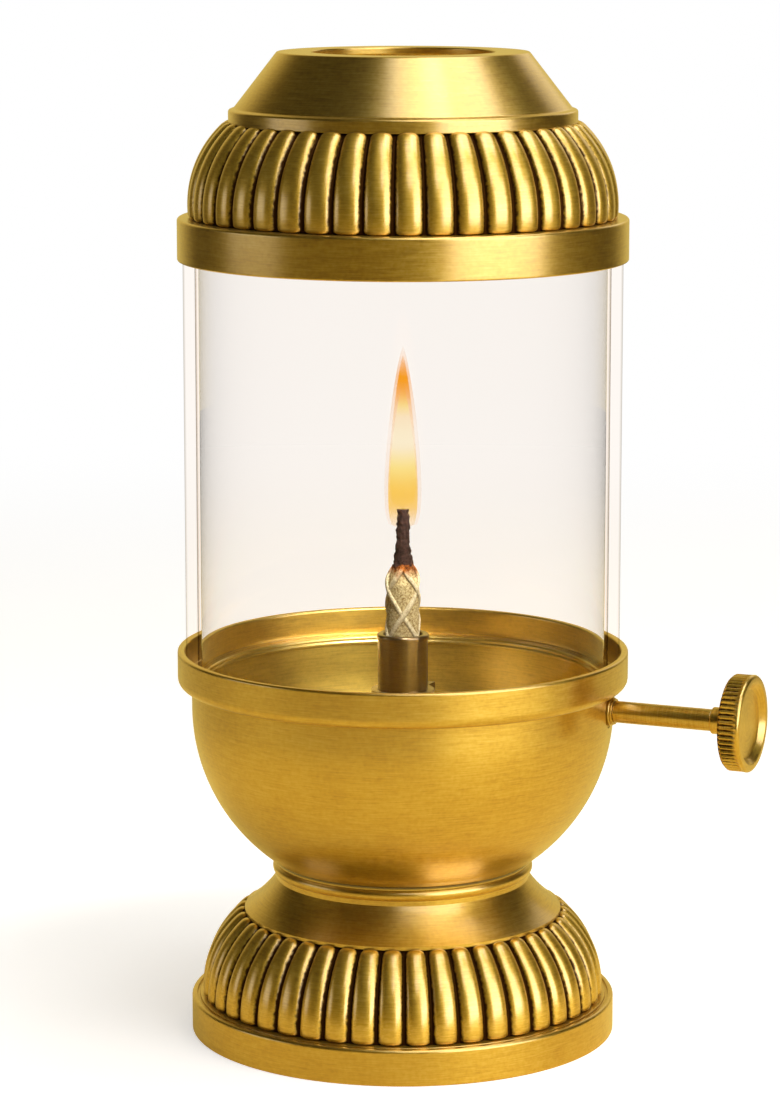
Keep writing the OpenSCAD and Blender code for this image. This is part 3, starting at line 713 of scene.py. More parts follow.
def flame_veil(name, low_z, high_z, stops, clear):
    """One veil of burning gas: it glows with a colour and an opacity that follow its height."""
    material, tree, place = start_material(name)
    height = add(tree, "SeparateXYZ", {0: place}).outputs["Z"]
    share = add(tree, "MapRange", {"Value": height, "From Min": low_z, "From Max": high_z})
    solid = add(tree, "ValToRGB", {"Fac": share},
                stops=((at, (opacity, opacity, opacity)) for at, opacity in clear))
    glow = add(tree, "Emission", {"Color": add(tree, "ValToRGB", {"Fac": share}, stops=stops)})
    veil = add(tree, "MixShader", {0: solid, 1: add(tree, "BsdfTransparent"), 2: glow})
    add(tree, "OutputMaterial", {"Surface": veil})
    return material


def pale_floor(colours, reach):
    """Matt pale floor that keeps the lamp's shadow and runs out into the white background."""
    material, tree, place = start_material("matt pale floor")
    mottle = 40 * MM
    away = add(tree, "VectorMath", {0: place}, operation="LENGTH").outputs["Value"]
    fade = add(tree, "MapRange", {"Value": away, "From Min": 0.35 * reach, "From Max": 0.9 * reach},
               interpolation_type="SMOOTHSTEP")
    mottled = add(tree, "TexNoise", {"Vector": place, "Scale": 1 / mottle})
    pale = add(tree, "ValToRGB", {"Fac": mottled}, stops=zip((0.3, 0.7), scaled(colours.floor, 0.98, 1)))
    seen = first_sight(tree)
    bounce = add(tree, "Mix", {0: fade, 6: colours.bounce[:], 7: FAR_BOUNCE}, data_type="RGBA").outputs[2]
    shade = add(tree, "Mix", {0: seen, 6: bounce, 7: pale}, data_type="RGBA").outputs[2]
    matt = add(tree, "BsdfDiffuse", {"Color": shade})
    lift = add(tree, "Mix", {0: seen, 2: colours.floor_glow, 3: colours.floor_lift})
    tint = add(tree, "Mix", {0: seen, 6: bounce, 7: WHITE}, data_type="RGBA").outputs[2]
    glow = add(tree, "Emission", {"Color": tint, "Strength": lift})
    lit = add(tree, "AddShader", {0: matt, 1: glow})
    white = add(tree, "Emission", {"Strength": 1})
    plain = add(tree, "Math", {0: fade, 1: seen}, operation="MULTIPLY")
    ground = add(tree, "MixShader", {0: plain, 1: lit, 2: white})
    add(tree, "OutputMaterial", {"Surface": ground})
    return material


# Pieces

class LAMP_OT_turn_stand(bpy.types.Operator):
    """Turns the foot ring and the neck of the stand"""
    bl_idname = "lamp.turn_stand"
    bl_label = "Turn the foot and the neck"

    def execute(self, context):
        s = context.scene.stand_sizes
        brass = satin(context.scene.lamp_colours)
        low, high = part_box("foot_ring")
        outer = high.x
        inner = outer - s.foot_width
        groove_out = outer - 2 * s.foot_groove
        groove_in = outer - 3 * s.foot_groove
        groove_z = high.z - s.foot_groove
        fine = s.fine_round
        foot = turn_piece("foot_ring_turned", rounded([
            (inner, low.z, fine), (outer, low.z, fine), (outer, high.z, s.edge_round),
            (groove_out, high.z, fine / 2), (groove_out, groove_z, fine / 2),
            (groove_in, groove_z, fine / 2), (groove_in, high.z, fine / 2), (inner, high.z, fine)]))
        hand_over(foot, brass, "stand", "satin_brass", "foot_ring")

        low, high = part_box("base_neck")
        flare_low = Vector((high.x, low.z + s.neck_lip))
        flare_high = Vector((s.neck_waist, flare_low.y + s.neck_flare))
        across = flare_high - flare_low
        out = Vector((across.y, -across.x)).normalized()
        sag = math.sqrt(s.neck_hollow ** 2 - (across.length / 2) ** 2)
        centre = (flare_low + flare_high) / 2 + out * sag
        start = flare_low - centre
        end = flare_high - centre
        turn_start = math.atan2(start.y, start.x) % FULL_TURN
        turn_end = math.atan2(end.y, end.x) % FULL_TURN
        bead = (s.neck_waist - s.neck_bead / 2, high.z - s.neck_bead - s.bead_gap)
        bead_angle = math.acos((s.neck_waist - bead[0]) / s.neck_bead)
        neck = turn_piece("base_neck_turned", rounded(
            [(s.neck_bore, low.z, fine), (high.x, low.z, fine)]
            + arc(centre, s.neck_hollow, turn_start, turn_end, 16)
            + arc(bead, s.neck_bead, -bead_angle, bead_angle, 10)
            + [(s.neck_waist, high.z, 0), (s.neck_bore, high.z, fine)]))
        hand_over(neck, brass, "stand", "satin_brass", "base_neck")
        return {"FINISHED"}


def flute_height(across, along, ends, s):
    """Height over the groove's floor and depth of the groove, each from 0 to 1.

    Each flute is a convex lobe with a blunt round head and foot, and the grooves run up between them.
    """
    # Powers for how blunt the ends are, how flat the crown, how full the sides and how low the patina lies
    end_power, crown_power, side_power, patina_power = 3, 2.4, 0.62, 1.5
    head = clamp((along - ends[1]) / s.head_round + 1)
    foot = clamp((ends[0] - along) / s.foot_round + 1)
    blunt = 1 - max(head, foot) ** end_power
    half_width = (1 - s.groove_share) * max(0.01, blunt) ** (1 / end_power)
    side = min(1, abs(across) / half_width)
    height = (1 - side ** crown_power) ** side_power * math.sqrt(blunt)
    return height, 1 - height ** patina_power


def press_dome(name, node, sizes, count, arc_radius, lift, opening):
    """Presses one pitch of a fluted dome and repeats it round the lamp's axis."""
    columns = 24
    foot_rows, side_rows, head_rows = 9, 18, 12
    low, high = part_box(node)
    centre = Vector((high.x - arc_radius, low.z + lift))
    core = arc_radius - sizes.flute_depth
    inner = core - sizes.wall
    flange_z = high.z - sizes.flange
    pitch = FULL_TURN / count
    core_low = math.asin((low.z - centre.y) / core)
    core_high = math.asin((high.z - centre.y) / core)
    # Rows lie closer where the flutes' heads and feet round off
    blunt = sizes.head_round / core
    turns = (spread(core_low, core_low + blunt, foot_rows)[:-1]
             + spread(core_low + blunt, core_high - blunt, side_rows)[:-1]
             + spread(core_high - blunt, core_high, head_rows))
    outline = ([(centre.x + core * math.cos(turn), centre.y + core * math.sin(turn)) for turn in turns]
               + [(opening, high.z, 0), (opening, flange_z, 0)]
               + arc(centre, inner, math.asin((flange_z - centre.y) / inner),
                     math.asin((low.z - centre.y) / inner), 10))
    piece = draw_outline(name, outline, lambda point: upright(point, -pitch / 2), True)
    groove = turn_pitch(piece, pitch, columns)
    # No operator gives a flute's round section and ends, so its vertices are moved by formula
    ends = (core * core_low, core * core_high)
    for vertex in piece.data.vertices:
        radius = math.hypot(vertex.co.x, vertex.co.y)
        out = Vector((radius, vertex.co.z)) - centre
        if abs(out.length - core) > 10 * WELD:
            continue
        turn = math.atan2(vertex.co.y, vertex.co.x) / pitch
        across = 2 * ((turn + 0.5) % 1 - 0.5)
        along = core * math.atan2(out.y, out.x)
        height, groove.data[vertex.index].value = flute_height(across, along, ends, sizes)
        rise = out.normalized() * sizes.flute_depth * height
        vertex.co.x *= (radius + rise.x) / radius
        vertex.co.y *= (radius + rise.x) / radius
        vertex.co.z += rise.y
    return repeat_round(piece, count, math.radians(50))


class LAMP_OT_press_domes(bpy.types.Operator):
    """Presses the fluted domes of the stand and the cap"""
    bl_idname = "lamp.press_domes"
    bl_label = "Press the fluted domes"

    def execute(self, context):
        s = context.scene.dome_sizes
        brass = fluted(context.scene.lamp_colours)
        neck_bore = context.scene.stand_sizes.neck_bore
        stand = press_dome("stand_dome_fluted", "base_dome", s, s.stand_flutes, s.stand_arc, s.stand_lift,
                           neck_bore)
        hand_over(stand, brass, "stand", "fluted_brass", "base_dome")
        cap = press_dome("cap_dome_fluted", "cap_dome", s, s.cap_flutes, s.cap_arc, s.cap_lift,
                         s.cap_opening)
        hand_over(cap, brass, "cap", "fluted_brass", "cap_dome")
        return {"FINISHED"}


def spindle_rod(name, radius, start, end):
    """A plain rod on the spindle's axis, to cut or join with."""
    return turn_piece(name, [(0, start), (radius, start), (radius, end), (0, end)], lying=True,
                      closed=False, steps=48)


class LAMP_OT_spin_bowl(bpy.types.Operator):
    """Spins the oil bowl with its bosses, and turns its rim"""
    bl_idname = "lamp.spin_bowl"
    bl_label = "Spin the bowl and turn its rim"

    def execute(self, context):
        s = context.scene.bowl_sizes
        brass = satin(context.scene.lamp_colours)
        low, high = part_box("oil_bowl")
        foot_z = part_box("base_neck")[1].z
        rim_low, rim_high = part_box("bowl_rim")
        outer = high.x
        arc_z = rim_low.z - s.straight
        arc_h = arc_z - foot_z
        arc_r = ((outer - s.foot) ** 2 + arc_h ** 2) / (2 * (outer - s.foot))
        centre = (outer - arc_r, arc_z)
        inner_r = arc_r - s.wall
        floor_z = foot_z + s.floor
        fine = s.fine_round
        bowl = turn_piece("oil_bowl_spun", rounded(
            [(0, floor_z, 0)]
            + arc(centre, inner_r, math.asin((floor_z - arc_z) / inner_r), 0, 28)
            + [(outer - s.wall, high.z, fine), (outer, high.z, fine)]
            + arc(centre, arc_r, 0, math.asin((foot_z - arc_z) / arc_r), 36)
            + [(s.boss, foot_z, 0), (s.boss, low.z, fine), (s.bolt_hole, low.z, fine),
               (s.bolt_hole, foot_z + s.bolt_depth, 0), (0, foot_z + s.bolt_depth, 0)],
            closed=False), closed=False, steps=BROAD)
        spot_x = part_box("thrust_washer")[0].x - context.scene.winder_sizes.bush_flange
        cut(bowl, spindle_rod("gland_boss", s.gland_boss, s.gland_boss_in, spot_x), "UNION")
        cut(bowl, spindle_rod("gland_face", s.gland_boss, spot_x, rim_high.x))
        cut(bowl, spindle_rod("gland_hole", s.gland_hole, s.gland_boss_in - s.wall, rim_high.x))
        hand_over(bowl, brass, "stand", "satin_brass", "oil_bowl")
        line_inside(bowl, pale_painted_inside(context.scene.lamp_colours))

        groove_out = outer + s.lip_fit
        groove_in = outer - s.wall - s.lip_fit
        ledge_z = rim_low.z + s.ledge
        rim = turn_piece("bowl_rim_turned", rounded([
            (s.ledge_bore - fine, rim_low.z, fine), (groove_in, rim_low.z, 0), (groove_in, high.z, 0),
            (groove_out, high.z, 0), (groove_out, rim_low.z, 0), (rim_high.x, rim_low.z, s.low_round),
            (rim_high.x, rim_high.z, s.edge_round), (s.band_bore, rim_high.z, s.edge_round),
            (s.band_bore, ledge_z, fine), (s.ledge_bore, ledge_z, s.ledge_round),
            (s.ledge_bore, ledge_z - s.ledge / 2, fine),
            (s.ledge_bore - fine, ledge_z - 0.7 * s.ledge, fine)]), steps=BROAD)
        hand_over(rim, brass, "stand", "satin_brass", "bowl_rim")
        line_inside(rim, pale_painted_inside(context.scene.lamp_colours))
        return {"FINISHED"}


class LAMP_OT_draw_glass(bpy.types.Operator):
    """Draws the glass chimney, with fire-polished ends"""
    bl_idname = "lamp.draw_glass"
    bl_label = "Draw the glass chimney"

    def execute(self, context):
        s = context.scene.cap_sizes
        low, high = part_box("glass_chimney")
        inner = high.x - s.glass_wall
        glass = turn_piece("glass_chimney_drawn", rounded([
            (inner, low.z, s.glass_round), (high.x, low.z, s.glass_round),
            (high.x, high.z, s.glass_round), (inner, high.z, s.glass_round)]), steps=BROAD)
        clear = clear_glass(context.scene.lamp_colours, inner, high.x, low.z + s.glass_round,
                            high.z - s.glass_round)
        hand_over(glass, clear, "chimney", "clear_glass", "glass_chimney")
        return {"FINISHED"}


class LAMP_OT_turn_cap(bpy.types.Operator):
    """Turns the cap's collar and its vent"""
    bl_idname = "lamp.turn_cap"
    bl_label = "Turn the collar and the vent"

    def execute(self, context):
        s = context.scene.cap_sizes
        brass = satin(context.scene.lamp_colours)
        fine = s.fine_round
        low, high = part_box("cap_collar")
        glass_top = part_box("glass_chimney")[1].z
        ledge_z, vent_z = (corner.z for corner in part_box("cap_dome"))
        collar = turn_piece("cap_collar_turned", rounded([
            (s.band_bore, low.z, fine), (high.x, low.z, s.edge_round / 2),
            (high.x, ledge_z, s.edge_round), (s.spigot, ledge_z, 0), (s.spigot, high.z, fine),
            (s.flange_bore, high.z, fine), (s.flange_bore, glass_top, fine),
            (s.band_bore, glass_top, 0)]), steps=BROAD)
        hand_over(collar, brass, "cap", "satin_brass", "cap_collar")

        low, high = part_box("cap_vent")
        lip_z = vent_z + s.vent_lip
        cone_r = high.x - s.vent_step
        slope = (cone_r - s.vent_top) / (high.z - lip_z)
        sheet = s.vent_sheet * math.sqrt(1 + slope ** 2)
        under_z = high.z - s.vent_sheet
        floor_z = vent_z + s.vent_sheet
        vent = turn_piece("cap_vent_spun", rounded([
            (s.vent_spigot, low.z, fine), (s.vent_spigot, vent_z, 0), (high.x, vent_z, fine),
            (high.x, lip_z, s.edge_round), (cone_r, lip_z + s.vent_step / 3, s.edge_round),
            (s.vent_top, high.z, s.edge_round), (s.vent_hole, high.z, s.edge_round / 2),
            (s.vent_hole, under_z, fine), (s.vent_top - sheet + slope * s.vent_sheet, under_z, fine),
            (cone_r - sheet, lip_z, 0), (cone_r - sheet, floor_z, fine),
            (s.vent_spigot - s.vent_sheet, floor_z, fine), (s.vent_spigot - s.vent_sheet, low.z, fine)]),
            steps=BROAD)
        hand_over(vent, brass, "cap", "satin_brass", "cap_vent")
        return {"FINISHED"}


class LAMP_OT_draw_tube(bpy.types.Operator):
    """Draws the wick tube, with a bead at its mouth and a slot for the star wheel"""
    bl_idname = "lamp.draw_tube"
    bl_label = "Draw the wick tube"

    def execute(self, context):
        s = context.scene.wick_sizes
        low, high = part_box("wick_tube")
        outer = high.x - s.tube_bead
        bead_z = high.z - s.tube_bead_h
        tube = turn_piece("wick_tube_drawn", rounded([
            (s.tube_bore, low.z, 0), (outer, low.z, s.tube_bead), (outer, bead_z, s.tube_bead / 4),
            (high.x, bead_z, s.tube_bead / 4), (high.x, high.z, 2.5 * s.tube_bead),
            (s.tube_bore, high.z, 2 * s.tube_bead)]), steps=SMALL)
        bpy.ops.object.select_all(action="DESELECT")
        bpy.ops.mesh.primitive_cube_add(size=1, location=(0, outer, KNOB_AXIS.z), scale=(
            s.slot_width, 2 * (outer - s.tube_bore / 2), s.slot_height))
        cut(tube, context.object)
        hand_over(tube, dulled(context.scene.lamp_colours), "stand", "dark_brass", "wick_tube")
        return {"FINISHED"}


class LAMP_OT_turn_spindle(bpy.types.Operator):
    """Turns the spindle, the gland's bush and the thrust washer"""
    bl_idname = "lamp.turn_spindle"
    bl_label = "Turn the spindle and its bush"

    def execute(self, context):
        s = context.scene.winder_sizes
        brass = darkened_satin(context.scene.lamp_colours)
        fine = s.fine_round
        low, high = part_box("spindle")
        washer_low, washer_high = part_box("thrust_washer")
        shank = high.y - KNOB_AXIS.y
        hub_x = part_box("knob")[0].x
        spindle = turn_piece("spindle_turned", rounded([
            (0, low.x, 0), (s.thin, low.x, fine), (s.thin, washer_high.x, 0),
            (shank, washer_high.x, fine), (shank, hub_x, fine), (s.thin, hub_x, 0),
            (s.thin, high.x, fine), (0, high.x, 0)], closed=False), lying=True, closed=False, steps=SMALL)
        hand_over(spindle, brass, "winder", "satin_brass", "spindle")

        low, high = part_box("gland_bush")
        flange = high.y - KNOB_AXIS.y
        flange_x = high.x - s.bush_flange
        bush = turn_piece("gland_bush_turned", rounded([
            (s.bore, low.x, 0), (s.bush_body, low.x, fine), (s.bush_body, flange_x, 0),
            (flange, flange_x, fine / 2), (flange, high.x, fine), (s.bore, high.x, 0)]),
            lying=True, steps=SMALL)
        hand_over(bush, brass, "stand", "satin_brass", "gland_bush")

        washer_r = washer_high.y - KNOB_AXIS.y
        washer = turn_piece("thrust_washer_turned", rounded([
            (s.bore, washer_low.x, 0), (washer_r, washer_low.x, fine / 2),
            (washer_r, washer_high.x, fine / 2), (s.bore, washer_high.x, 0)]), lying=True, steps=SMALL)
        hand_over(washer, brass, "stand", "dark_brass", "thrust_washer")
        return {"FINISHED"}


class LAMP_OT_cut_knob(bpy.types.Operator):
    """Turns one knurl's pitch of the knob, cuts the knurl and repeats it"""
    bl_idname = "lamp.cut_knob"
    bl_label = "Cut the knurled knob"

    def execute(self, context):
        s = context.scene.winder_sizes
        columns = 6
        rows = 8
        # Angle at which the raised edge's rounding starts, and where in its pitch a knurl is highest
        edge_start = 0.3
        phase = 0.25
        fine = s.fine_round
        low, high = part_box("knob")
        bore_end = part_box("spindle")[1].x
        outer = high.y - KNOB_AXIS.y
        wheel_x = low.x + s.hub_length
        dish_r = outer - s.knob_edge
        dish_x = high.x - s.knob_dish
        knurl_end = high.x - s.knob_round
        knurl = [(outer, x, 0) for x in spread(wheel_x + s.chamfer, knurl_end, rows)]
        outline = rounded(
            [(0, bore_end, 0), (s.bore, bore_end, 0), (s.bore, low.x, fine), (s.hub, low.x, fine),
             (s.hub, wheel_x, fine), (outer - s.chamfer, wheel_x, fine)] + knurl
            + arc((outer - s.knob_round, knurl_end), s.knob_round, edge_start, math.pi / 2, 6)
            + [(dish_r, high.x, fine), (dish_r - s.knob_dish, dish_x, s.knob_dish / 2), (0, dish_x, 0)],
            closed=False)
        pitch = FULL_TURN / s.knurls
        knob = draw_outline("knob_knurled", outline, along_spindle, False)
        groove = turn_pitch(knob, pitch, columns, lying=True)
        # Each groove is deepest between two knurls and runs out before the face
        for vertex in knob.data.vertices:
            arm = Vector((vertex.co.y - KNOB_AXIS.y, vertex.co.z - KNOB_AXIS.z))
            if arm.length < outer - s.chamfer - WELD or vertex.co.x > knurl_end + WELD:
                continue
            turn = math.atan2(arm.y, arm.x) / pitch
            across = abs(2 * ((turn - phase) % 1) - 1)
            run_out = clamp((knurl_end - vertex.co.x) / s.knurl_stop)
            depth = (1 - across) * math.sqrt(run_out)
            groove.data[vertex.index].value = depth
            arm *= (arm.length - s.knurl_depth * depth) / arm.length
            vertex.co.y = KNOB_AXIS.y + arm.x
            vertex.co.z = KNOB_AXIS.z + arm.y
        repeat_round(knob, s.knurls, math.radians(30), lying=True)
        hub_mid = low.x + s.hub_length / 2
        bpy.ops.object.select_all(action="DESELECT")
        bpy.ops.mesh.primitive_cylinder_add(vertices=24, radius=s.grub_hole, depth=s.hub, location=(
            hub_mid, KNOB_AXIS.y, KNOB_AXIS.z - s.bore / 2 - s.hub / 2))
        cut(knob, context.object)
        hand_over(knob, knurled(context.scene.lamp_colours), "winder", "satin_brass", "knob")
        return {"FINISHED"}


def wind_strand(name, sizes, way, mid, low_z, high_z):
    """Winds one flat strand up the wick; way is 1 or -1, and says which way it turns."""
    height = high_z - low_z
    step = 0.8 * MM
    steps = int(height / step)
    bpy.ops.object.select_all(action="DESELECT")
    bpy.ops.mesh.primitive_circle_add(vertices=10, radius=sizes.strand_width / 2, enter_editmode=True,
                                      location=(0, 0, 0))
    strand = bpy.context.object
    strand.name = name
    bpy.ops.transform.resize(value=(sizes.strand_thick / sizes.strand_width, 1, 1))
    bpy.ops.transform.translate(value=(mid, 0, low_z))
    bpy.ops.object.mode_set(mode="OBJECT")
    screw = strand.modifiers.new("wind", "SCREW")
    screw.axis = "Z"
    screw.angle = way * FULL_TURN * height / sizes.climb
    screw.screw_offset = height
    screw.steps = steps
    screw.render_steps = steps
    bpy.ops.object.modifier_apply(modifier="wind")
    return strand


class LAMP_OT_braid_wick(bpy.types.Operator):
    """Braids the wick from strands that wind both ways, and models its charred end"""
    bl_idname = "lamp.braid_wick"
    bl_label = "Braid the wick"

    def execute(self, context):
        s = context.scene.wick_sizes
        low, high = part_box("wick")
        outer = high.x
        shoulder_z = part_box("wick_tube")[1].z + s.wick_out
        mid = outer - s.weave - s.strand_thick / 2
        cross_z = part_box("wick_tube")[1].z + s.crossing
        cross_h = s.climb / (2 * s.strands)
        strands = []
        for way in (1, -1):
            strand = wind_strand("strand", s, way, mid, low.z, shoulder_z + s.shoulder / 2)
            turn = Matrix.Rotation(FRONT - way * FULL_TURN * (cross_z - low.z) / s.climb, 2)
            # Marks the cords for their painted highlight
            cord_highlight = strand.data.attributes.new("cord_highlight", "FLOAT", "POINT")
            for vertex in strand.data.vertices:
                cord_highlight.data[vertex.index].value = 1
                flat = turn @ Vector((vertex.co.x, vertex.co.y))
                rise = way * s.weave * math.cos(math.pi * (vertex.co.z - cross_z) / cross_h)
                flat *= (flat.length + rise) / flat.length
                drawn = clamp((vertex.co.z - shoulder_z + s.shoulder) / (1.5 * s.shoulder)) ** 2
                flat *= 1 - drawn * (1 - s.char_foot / outer)
                vertex.co.x = flat.x
                vertex.co.y = flat.y
            bpy.ops.object.mode_set(mode="EDIT")
            bpy.ops.mesh.select_all(action="SELECT")
            bpy.ops.mesh.fill_holes(sides=0)
            bpy.ops.mesh.select_all(action="SELECT")
            bpy.ops.mesh.normals_make_consistent(inside=False)
            copy_round(s.strands)
            bpy.ops.object.mode_set(mode="OBJECT")
            strands.append(strand)
        core = turn_piece("wick_core", rounded([
            (0, low.z, 0), (s.body, low.z, 0), (s.body, shoulder_z - s.shoulder, 2 * s.shoulder / 3),
            (s.char_foot * 0.8, shoulder_z + s.shoulder / 2, 0), (0, shoulder_z + s.shoulder / 2, 0)],
            closed=False), closed=False, steps=40)
        char_low = shoulder_z - s.shoulder / 4
        hollow = 2.2
        taper = [(s.char_tip + (s.char_foot - s.char_tip) * (1 - t) ** hollow,
                  char_low + (high.z - char_low) * t) for t in spread(0, 1, 36)]
        char = turn_piece("wick_char", [(0, char_low), *taper, (0, high.z)], closed=False, steps=40)
        crumble = bpy.data.textures.new("crumbled char", "CLOUDS")
        crumble.noise_scale = 0.8 * MM
        crumble.noise_depth = 3
        displace = char.modifiers.new("crumble", "DISPLACE")
        displace.texture = crumble
        displace.strength = 1.3 * MM
        displace.mid_level = 0.5
        bpy.ops.object.modifier_apply(modifier="crumble")
        wick = join("wick_braided", [*strands, core, char])
        bpy.ops.object.shade_smooth_by_angle(angle=math.radians(60))
        cotton = braided_cotton(context.scene.lamp_colours, shoulder_z)
        hand_over(wick, cotton, "wick", "cotton_wick", "wick")
        return {"FINISHED"}


class LAMP_OT_light_flame(bpy.types.Operator):
    """Lights the flame as veils of gas inside each other"""
    bl_idname = "lamp.light_flame"
    bl_label = "Light the flame"

    def execute(self, context):
        s = context.scene.wick_sizes
        colours = context.scene.lamp_colours
        core, pale, body = colours.flame_core[:], colours.flame_pale[:], colours.flame_body[:]
        tip, halo = colours.flame_tip[:], colours.flame_halo[:]
        tip_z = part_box("wick")[1].z
        foot_z = tip_z - s.flame_low
        # Each veil: its share of the flame's width, where it starts and ends, colours and opacity
        veils = [
            ("flame_veil", 1, 0, 1,
             [(0, halo), (0.7, halo), (0.84, tip), (1, halo)],
             [(0, 0.03), (0.1, 0.12), (0.3, 0.12), (0.55, 0.06), (0.84, 0.36), (0.94, 0.16), (1, 0.03)]),
            ("flame_mantle", 0.8, 0, 0.95,
             [(0.1, body), (0.5, body), (0.8, tip)],
             [(0, 0.05), (0.07, 0.26), (0.14, 0.6), (0.24, 0.55), (0.52, 0.13), (0.71, 0.25), (0.86, 0.85),
              (1, 0.1)]),
            ("flame_heart", 0.7, 0.12, 0.8,
             [(0.1, body), (0.34, pale), (0.5, core), (0.74, core), (0.84, pale), (1, tip)],
             [(0, 0.1), (0.16, 0.6), (0.4, 0.96), (0.8, 0.96), (1, 0.3)]),
        ]
        # Powers of the outline: how blunt the foot is, and how fine the tip
        rise, fall = 0.22, 0.8
        crest = rise / (rise + fall)
        peak = crest ** rise * (1 - crest) ** fall
        pieces = []
        for name, width, start, end, stops, clear in veils:
            low = foot_z + start * s.flame_height
            high = foot_z + end * s.flame_height
            outline = [(width * s.flame_width * t ** rise * (1 - t) ** fall / peak,
                        low + (high - low) * t) for t in spread(0, 1, 30)]
            veil = turn_piece(name, outline, closed=False, steps=32)
            cover(veil, flame_veil(name.replace("_", " "), low, high, stops, clear))
            # The flame burns up the far side of the wick's tip, so the charred end stands before its foot
            for vertex in veil.data.vertices:
                share = clamp((vertex.co.z - tip_z) / s.lean_height)
                lean = s.flame_lean * (1 - share ** 2 * (3 - 2 * share))
                vertex.co.x -= lean * math.cos(FRONT)
                vertex.co.y -= lean * math.sin(FRONT)
            pieces.append(veil)
        flame = join("flame", pieces)
        hand_over(flame, None, "wick", None)
        return {"FINISHED"}


class LAMP_OT_finish_hardware(bpy.types.Operator):
    """Gives the inner solids that stay as packed their materials"""
    bl_idname = "lamp.finish_hardware"
    bl_label = "Finish the inner pieces"

    def execute(self, context):
        colours = context.scene.lamp_colours
        finishes = [
            (plated_steel(colours), ("clamp_plate", "tie_washer", "tie_bolt", "grub_screw")),
            (dulled(colours), ("tube_socket", "spindle_bracket", "gland_nut", "star_wheel")),
            (pressed_fibre(colours), ("gland_washer",)),
        ]
        for material, names in finishes:
            for name in names:
                cover(frame["nodes"][name], material)
        return {"FINISHED"}


def softbox(name, turn, rise, distance, size, radiance, target, receivers):
    """A soft rectangular lamp that faces the target; radiance 1 shows as white in a mirror.

    It stands a turn to the camera's right and a rise above the target, in degrees. It is not seen itself,
    straight or through the glass.
    """
    azimuth = VIEW + math.radians(turn)
    elevation = math.radians(rise)
    back = Vector((math.sin(azimuth) * math.cos(elevation), -math.cos(azimuth) * math.cos(elevation),
                   math.sin(elevation)))
    place = Vector(target) + back * distance
    bpy.ops.object.light_add(type="AREA", location=place,
                             rotation=back.to_track_quat("Z", "Y").to_euler())
    lamp = bpy.context.object
    lamp.name = name
    lamp.data.shape = "RECTANGLE"
    lamp.data.size, lamp.data.size_y = size
    lamp.data.energy = radiance * math.pi * size[0] * size[1]
    lamp.visible_camera = False
    lamp.visible_transmission = False
    lamp.light_linking.receiver_collection = receivers
    return lamp


def studio_world(colours):
    """White where it is seen; what the brass mirrors is a white backdrop behind a dim room."""
    world = bpy.data.worlds.new("pale studio")
    world.use_nodes = True
    tree = world.node_tree
    tree.nodes.clear()
    # The backdrop's middle lies behind the lamp and a little above it, and its edge is soft
    middle = (-math.sin(VIEW), math.cos(VIEW), 0.15)
    outside, inside = 0.6, 0.95
    facing = add(tree, "VectorMath", {0: add(tree, "TexCoord").outputs["Generated"], 1: middle},
                 operation="DOT_PRODUCT").outputs["Value"]
    backdrop = add(tree, "MapRange", {"Value": facing, "From Min": outside, "From Max": inside,
                                      "To Min": ROOM_LIGHT, "To Max": BACKDROP_LIGHT},
                   interpolation_type="SMOOTHSTEP")
    seen = first_sight(tree)
    level = add(tree, "Mix", {0: seen, 2: backdrop, 3: 1})
    shade = add(tree, "Mix", {0: seen, 6: colours.bounce[:], 7: WHITE}, data_type="RGBA").outputs[2]
    add(tree, "OutputWorld", {"Surface": add(tree, "Background", {"Strength": level, "Color": shade})})
    return world


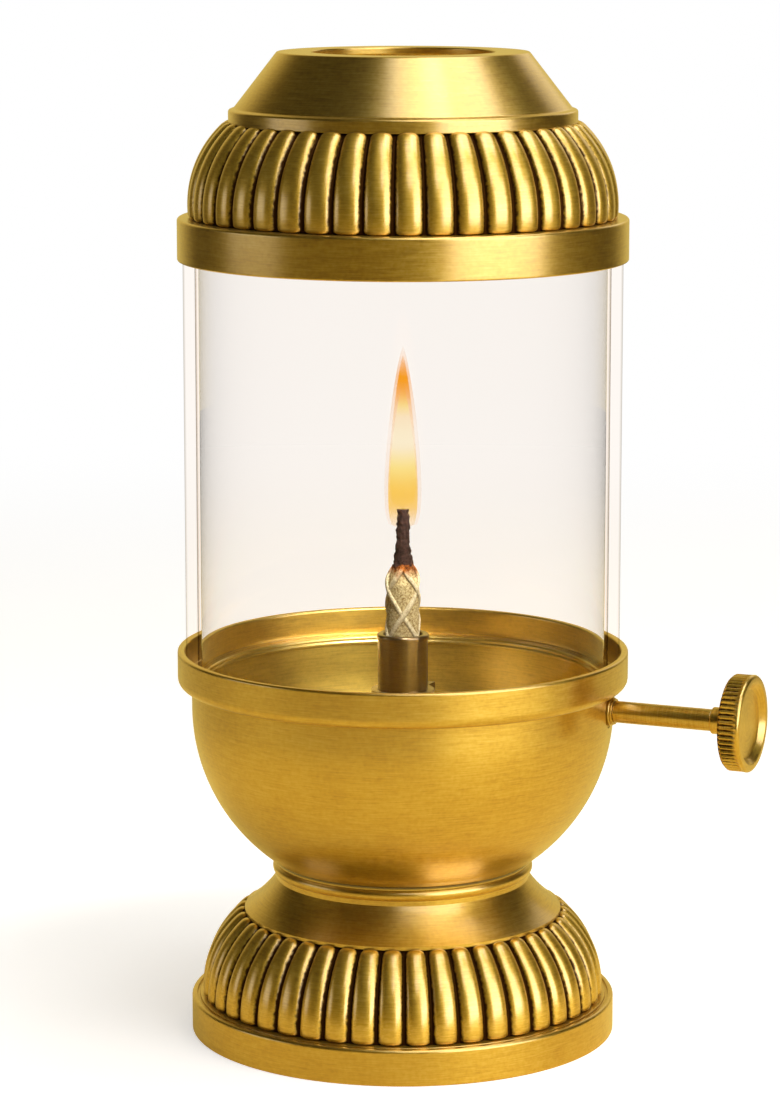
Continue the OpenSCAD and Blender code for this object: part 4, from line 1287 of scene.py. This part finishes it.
class LAMP_OT_set_stage(bpy.types.Operator):
    """Sets the pale floor, the soft lamps, the background and the camera"""
    bl_idname = "lamp.set_stage"
    bl_label = "Set the stage"

    def execute(self, context):
        scene = context.scene
        floor_reach = 1.0
        bpy.ops.object.select_all(action="DESELECT")
        bpy.ops.mesh.primitive_circle_add(vertices=96, radius=floor_reach, fill_type="NGON",
                                          location=(0, 0, 0))
        floor = context.object
        floor.name = "floor"
        floor.data.materials.append(pale_floor(scene.lamp_colours, floor_reach))

        # A polarising filter keeps the lamps out of the glass
        filtered = bpy.data.collections.new("glass behind the filter")
        filtered.objects.link(bpy.data.objects["glass_chimney_drawn"])
        filtered.collection_objects[0].light_linking.link_state = "EXCLUDE"
        middle = (0, 0, 0.11)
        lamp_distance = 1.3
        # Turn to the camera's right, rise, size and brightness of each lamp
        lamps = [
            ("key softbox", 48, 6, (1.25, 0.4), 3.8),
            ("key head", 46, 24, (1.2, 0.42), 2.7),
            ("upper softbox", 30, 44, (1.15, 0.46), 2.4),
            ("overhead softbox", 22, 70, (0.6, 0.6), 2.4),
            ("right overhead softbox", 100, 68, (0.8, 0.7), 2.8),
            ("left strip", -80, 7, (0.75, 0.42), 1.0),
            ("right rim strip", 150, 24, (0.6, 0.4), 0.4),
        ]
        for name, turn, rise, size, radiance in lamps:
            softbox(name, turn, rise, lamp_distance, size, radiance, middle, filtered)
        # The flame's own light comes from under the cap and falls on the bowl's inside, behind the wick
        wall = FRONT + math.pi + math.radians(18)
        wall_r = 0.045
        wall_z = 0.085
        inside = (wall_r * math.cos(wall), wall_r * math.sin(wall), wall_z)
        flame_light = softbox("flame light", 25, 45, 0.104, (0.05, 0.03), 7, inside, filtered)
        flame_light.data.spread = math.radians(60)
        scene.world = studio_world(scene.lamp_colours)

        # The camera stands 0.85 m from the lamp's axis and looks ten degrees down
        camera_place = (0.3301, -0.7777, 0.2563)
        camera_turn = (math.radians(80.013), 0, VIEW + math.radians(0.192))
        bpy.ops.object.camera_add(location=camera_place, rotation=camera_turn)
        camera = context.object
        camera.data.sensor_width = 36
        camera.data.lens = 125.92
        camera.data.clip_end = 30
        scene.camera = camera
        scene.view_settings.view_transform = "Standard"
        return {"FINISHED"}


PIECES = (LAMP_OT_turn_stand, LAMP_OT_press_domes, LAMP_OT_spin_bowl, LAMP_OT_draw_glass,
          LAMP_OT_turn_cap, LAMP_OT_draw_tube, LAMP_OT_turn_spindle, LAMP_OT_cut_knob,
          LAMP_OT_braid_wick, LAMP_OT_light_flame, LAMP_OT_finish_hardware, LAMP_OT_set_stage)
GROUPS = {"stand_sizes": StandSizes, "dome_sizes": DomeSizes, "bowl_sizes": BowlSizes,
          "cap_sizes": CapSizes, "wick_sizes": WickSizes, "winder_sizes": WinderSizes,
          "lamp_colours": LampColours}


class LAMP_PT_panel(bpy.types.Panel):
    """Lists the lamp's sizes, its colours and the steps that build it"""
    bl_idname = "LAMP_PT_panel"
    bl_label = "Oil lamp"
    bl_space_type = "VIEW_3D"
    bl_region_type = "UI"
    bl_category = "Oil lamp"

    def draw(self, context):
        for attribute, group in GROUPS.items():
            box = self.layout.box()
            for prop in group.__annotations__:
                box.prop(getattr(context.scene, attribute), prop)
        for piece in PIECES:
            self.layout.operator(piece.bl_idname)


def register():
    """Registers the classes and gives the scene their sizes and colours."""
    for group in GROUPS.values():
        bpy.utils.register_class(group)
    for cls in (*PIECES, LAMP_PT_panel):
        bpy.utils.register_class(cls)
    for attribute, group in GROUPS.items():
        setattr(bpy.types.Scene, attribute, PointerProperty(type=group))


def unregister():
    """Takes the sizes, the colours and the classes out again."""
    for attribute in GROUPS:
        delattr(bpy.types.Scene, attribute)
    for cls in (LAMP_PT_panel, *PIECES, *GROUPS.values()):
        bpy.utils.unregister_class(cls)


def main():
    """Builds the lamp on its stage."""
    register()
    bpy.ops.lamp.turn_stand()
    bpy.ops.lamp.press_domes()
    bpy.ops.lamp.spin_bowl()
    bpy.ops.lamp.draw_glass()
    bpy.ops.lamp.turn_cap()
    bpy.ops.lamp.draw_tube()
    bpy.ops.lamp.turn_spindle()
    bpy.ops.lamp.cut_knob()
    bpy.ops.lamp.braid_wick()
    bpy.ops.lamp.light_flame()
    bpy.ops.lamp.finish_hardware()
    bpy.ops.lamp.set_stage()


if __name__ == "__main__":
    main()
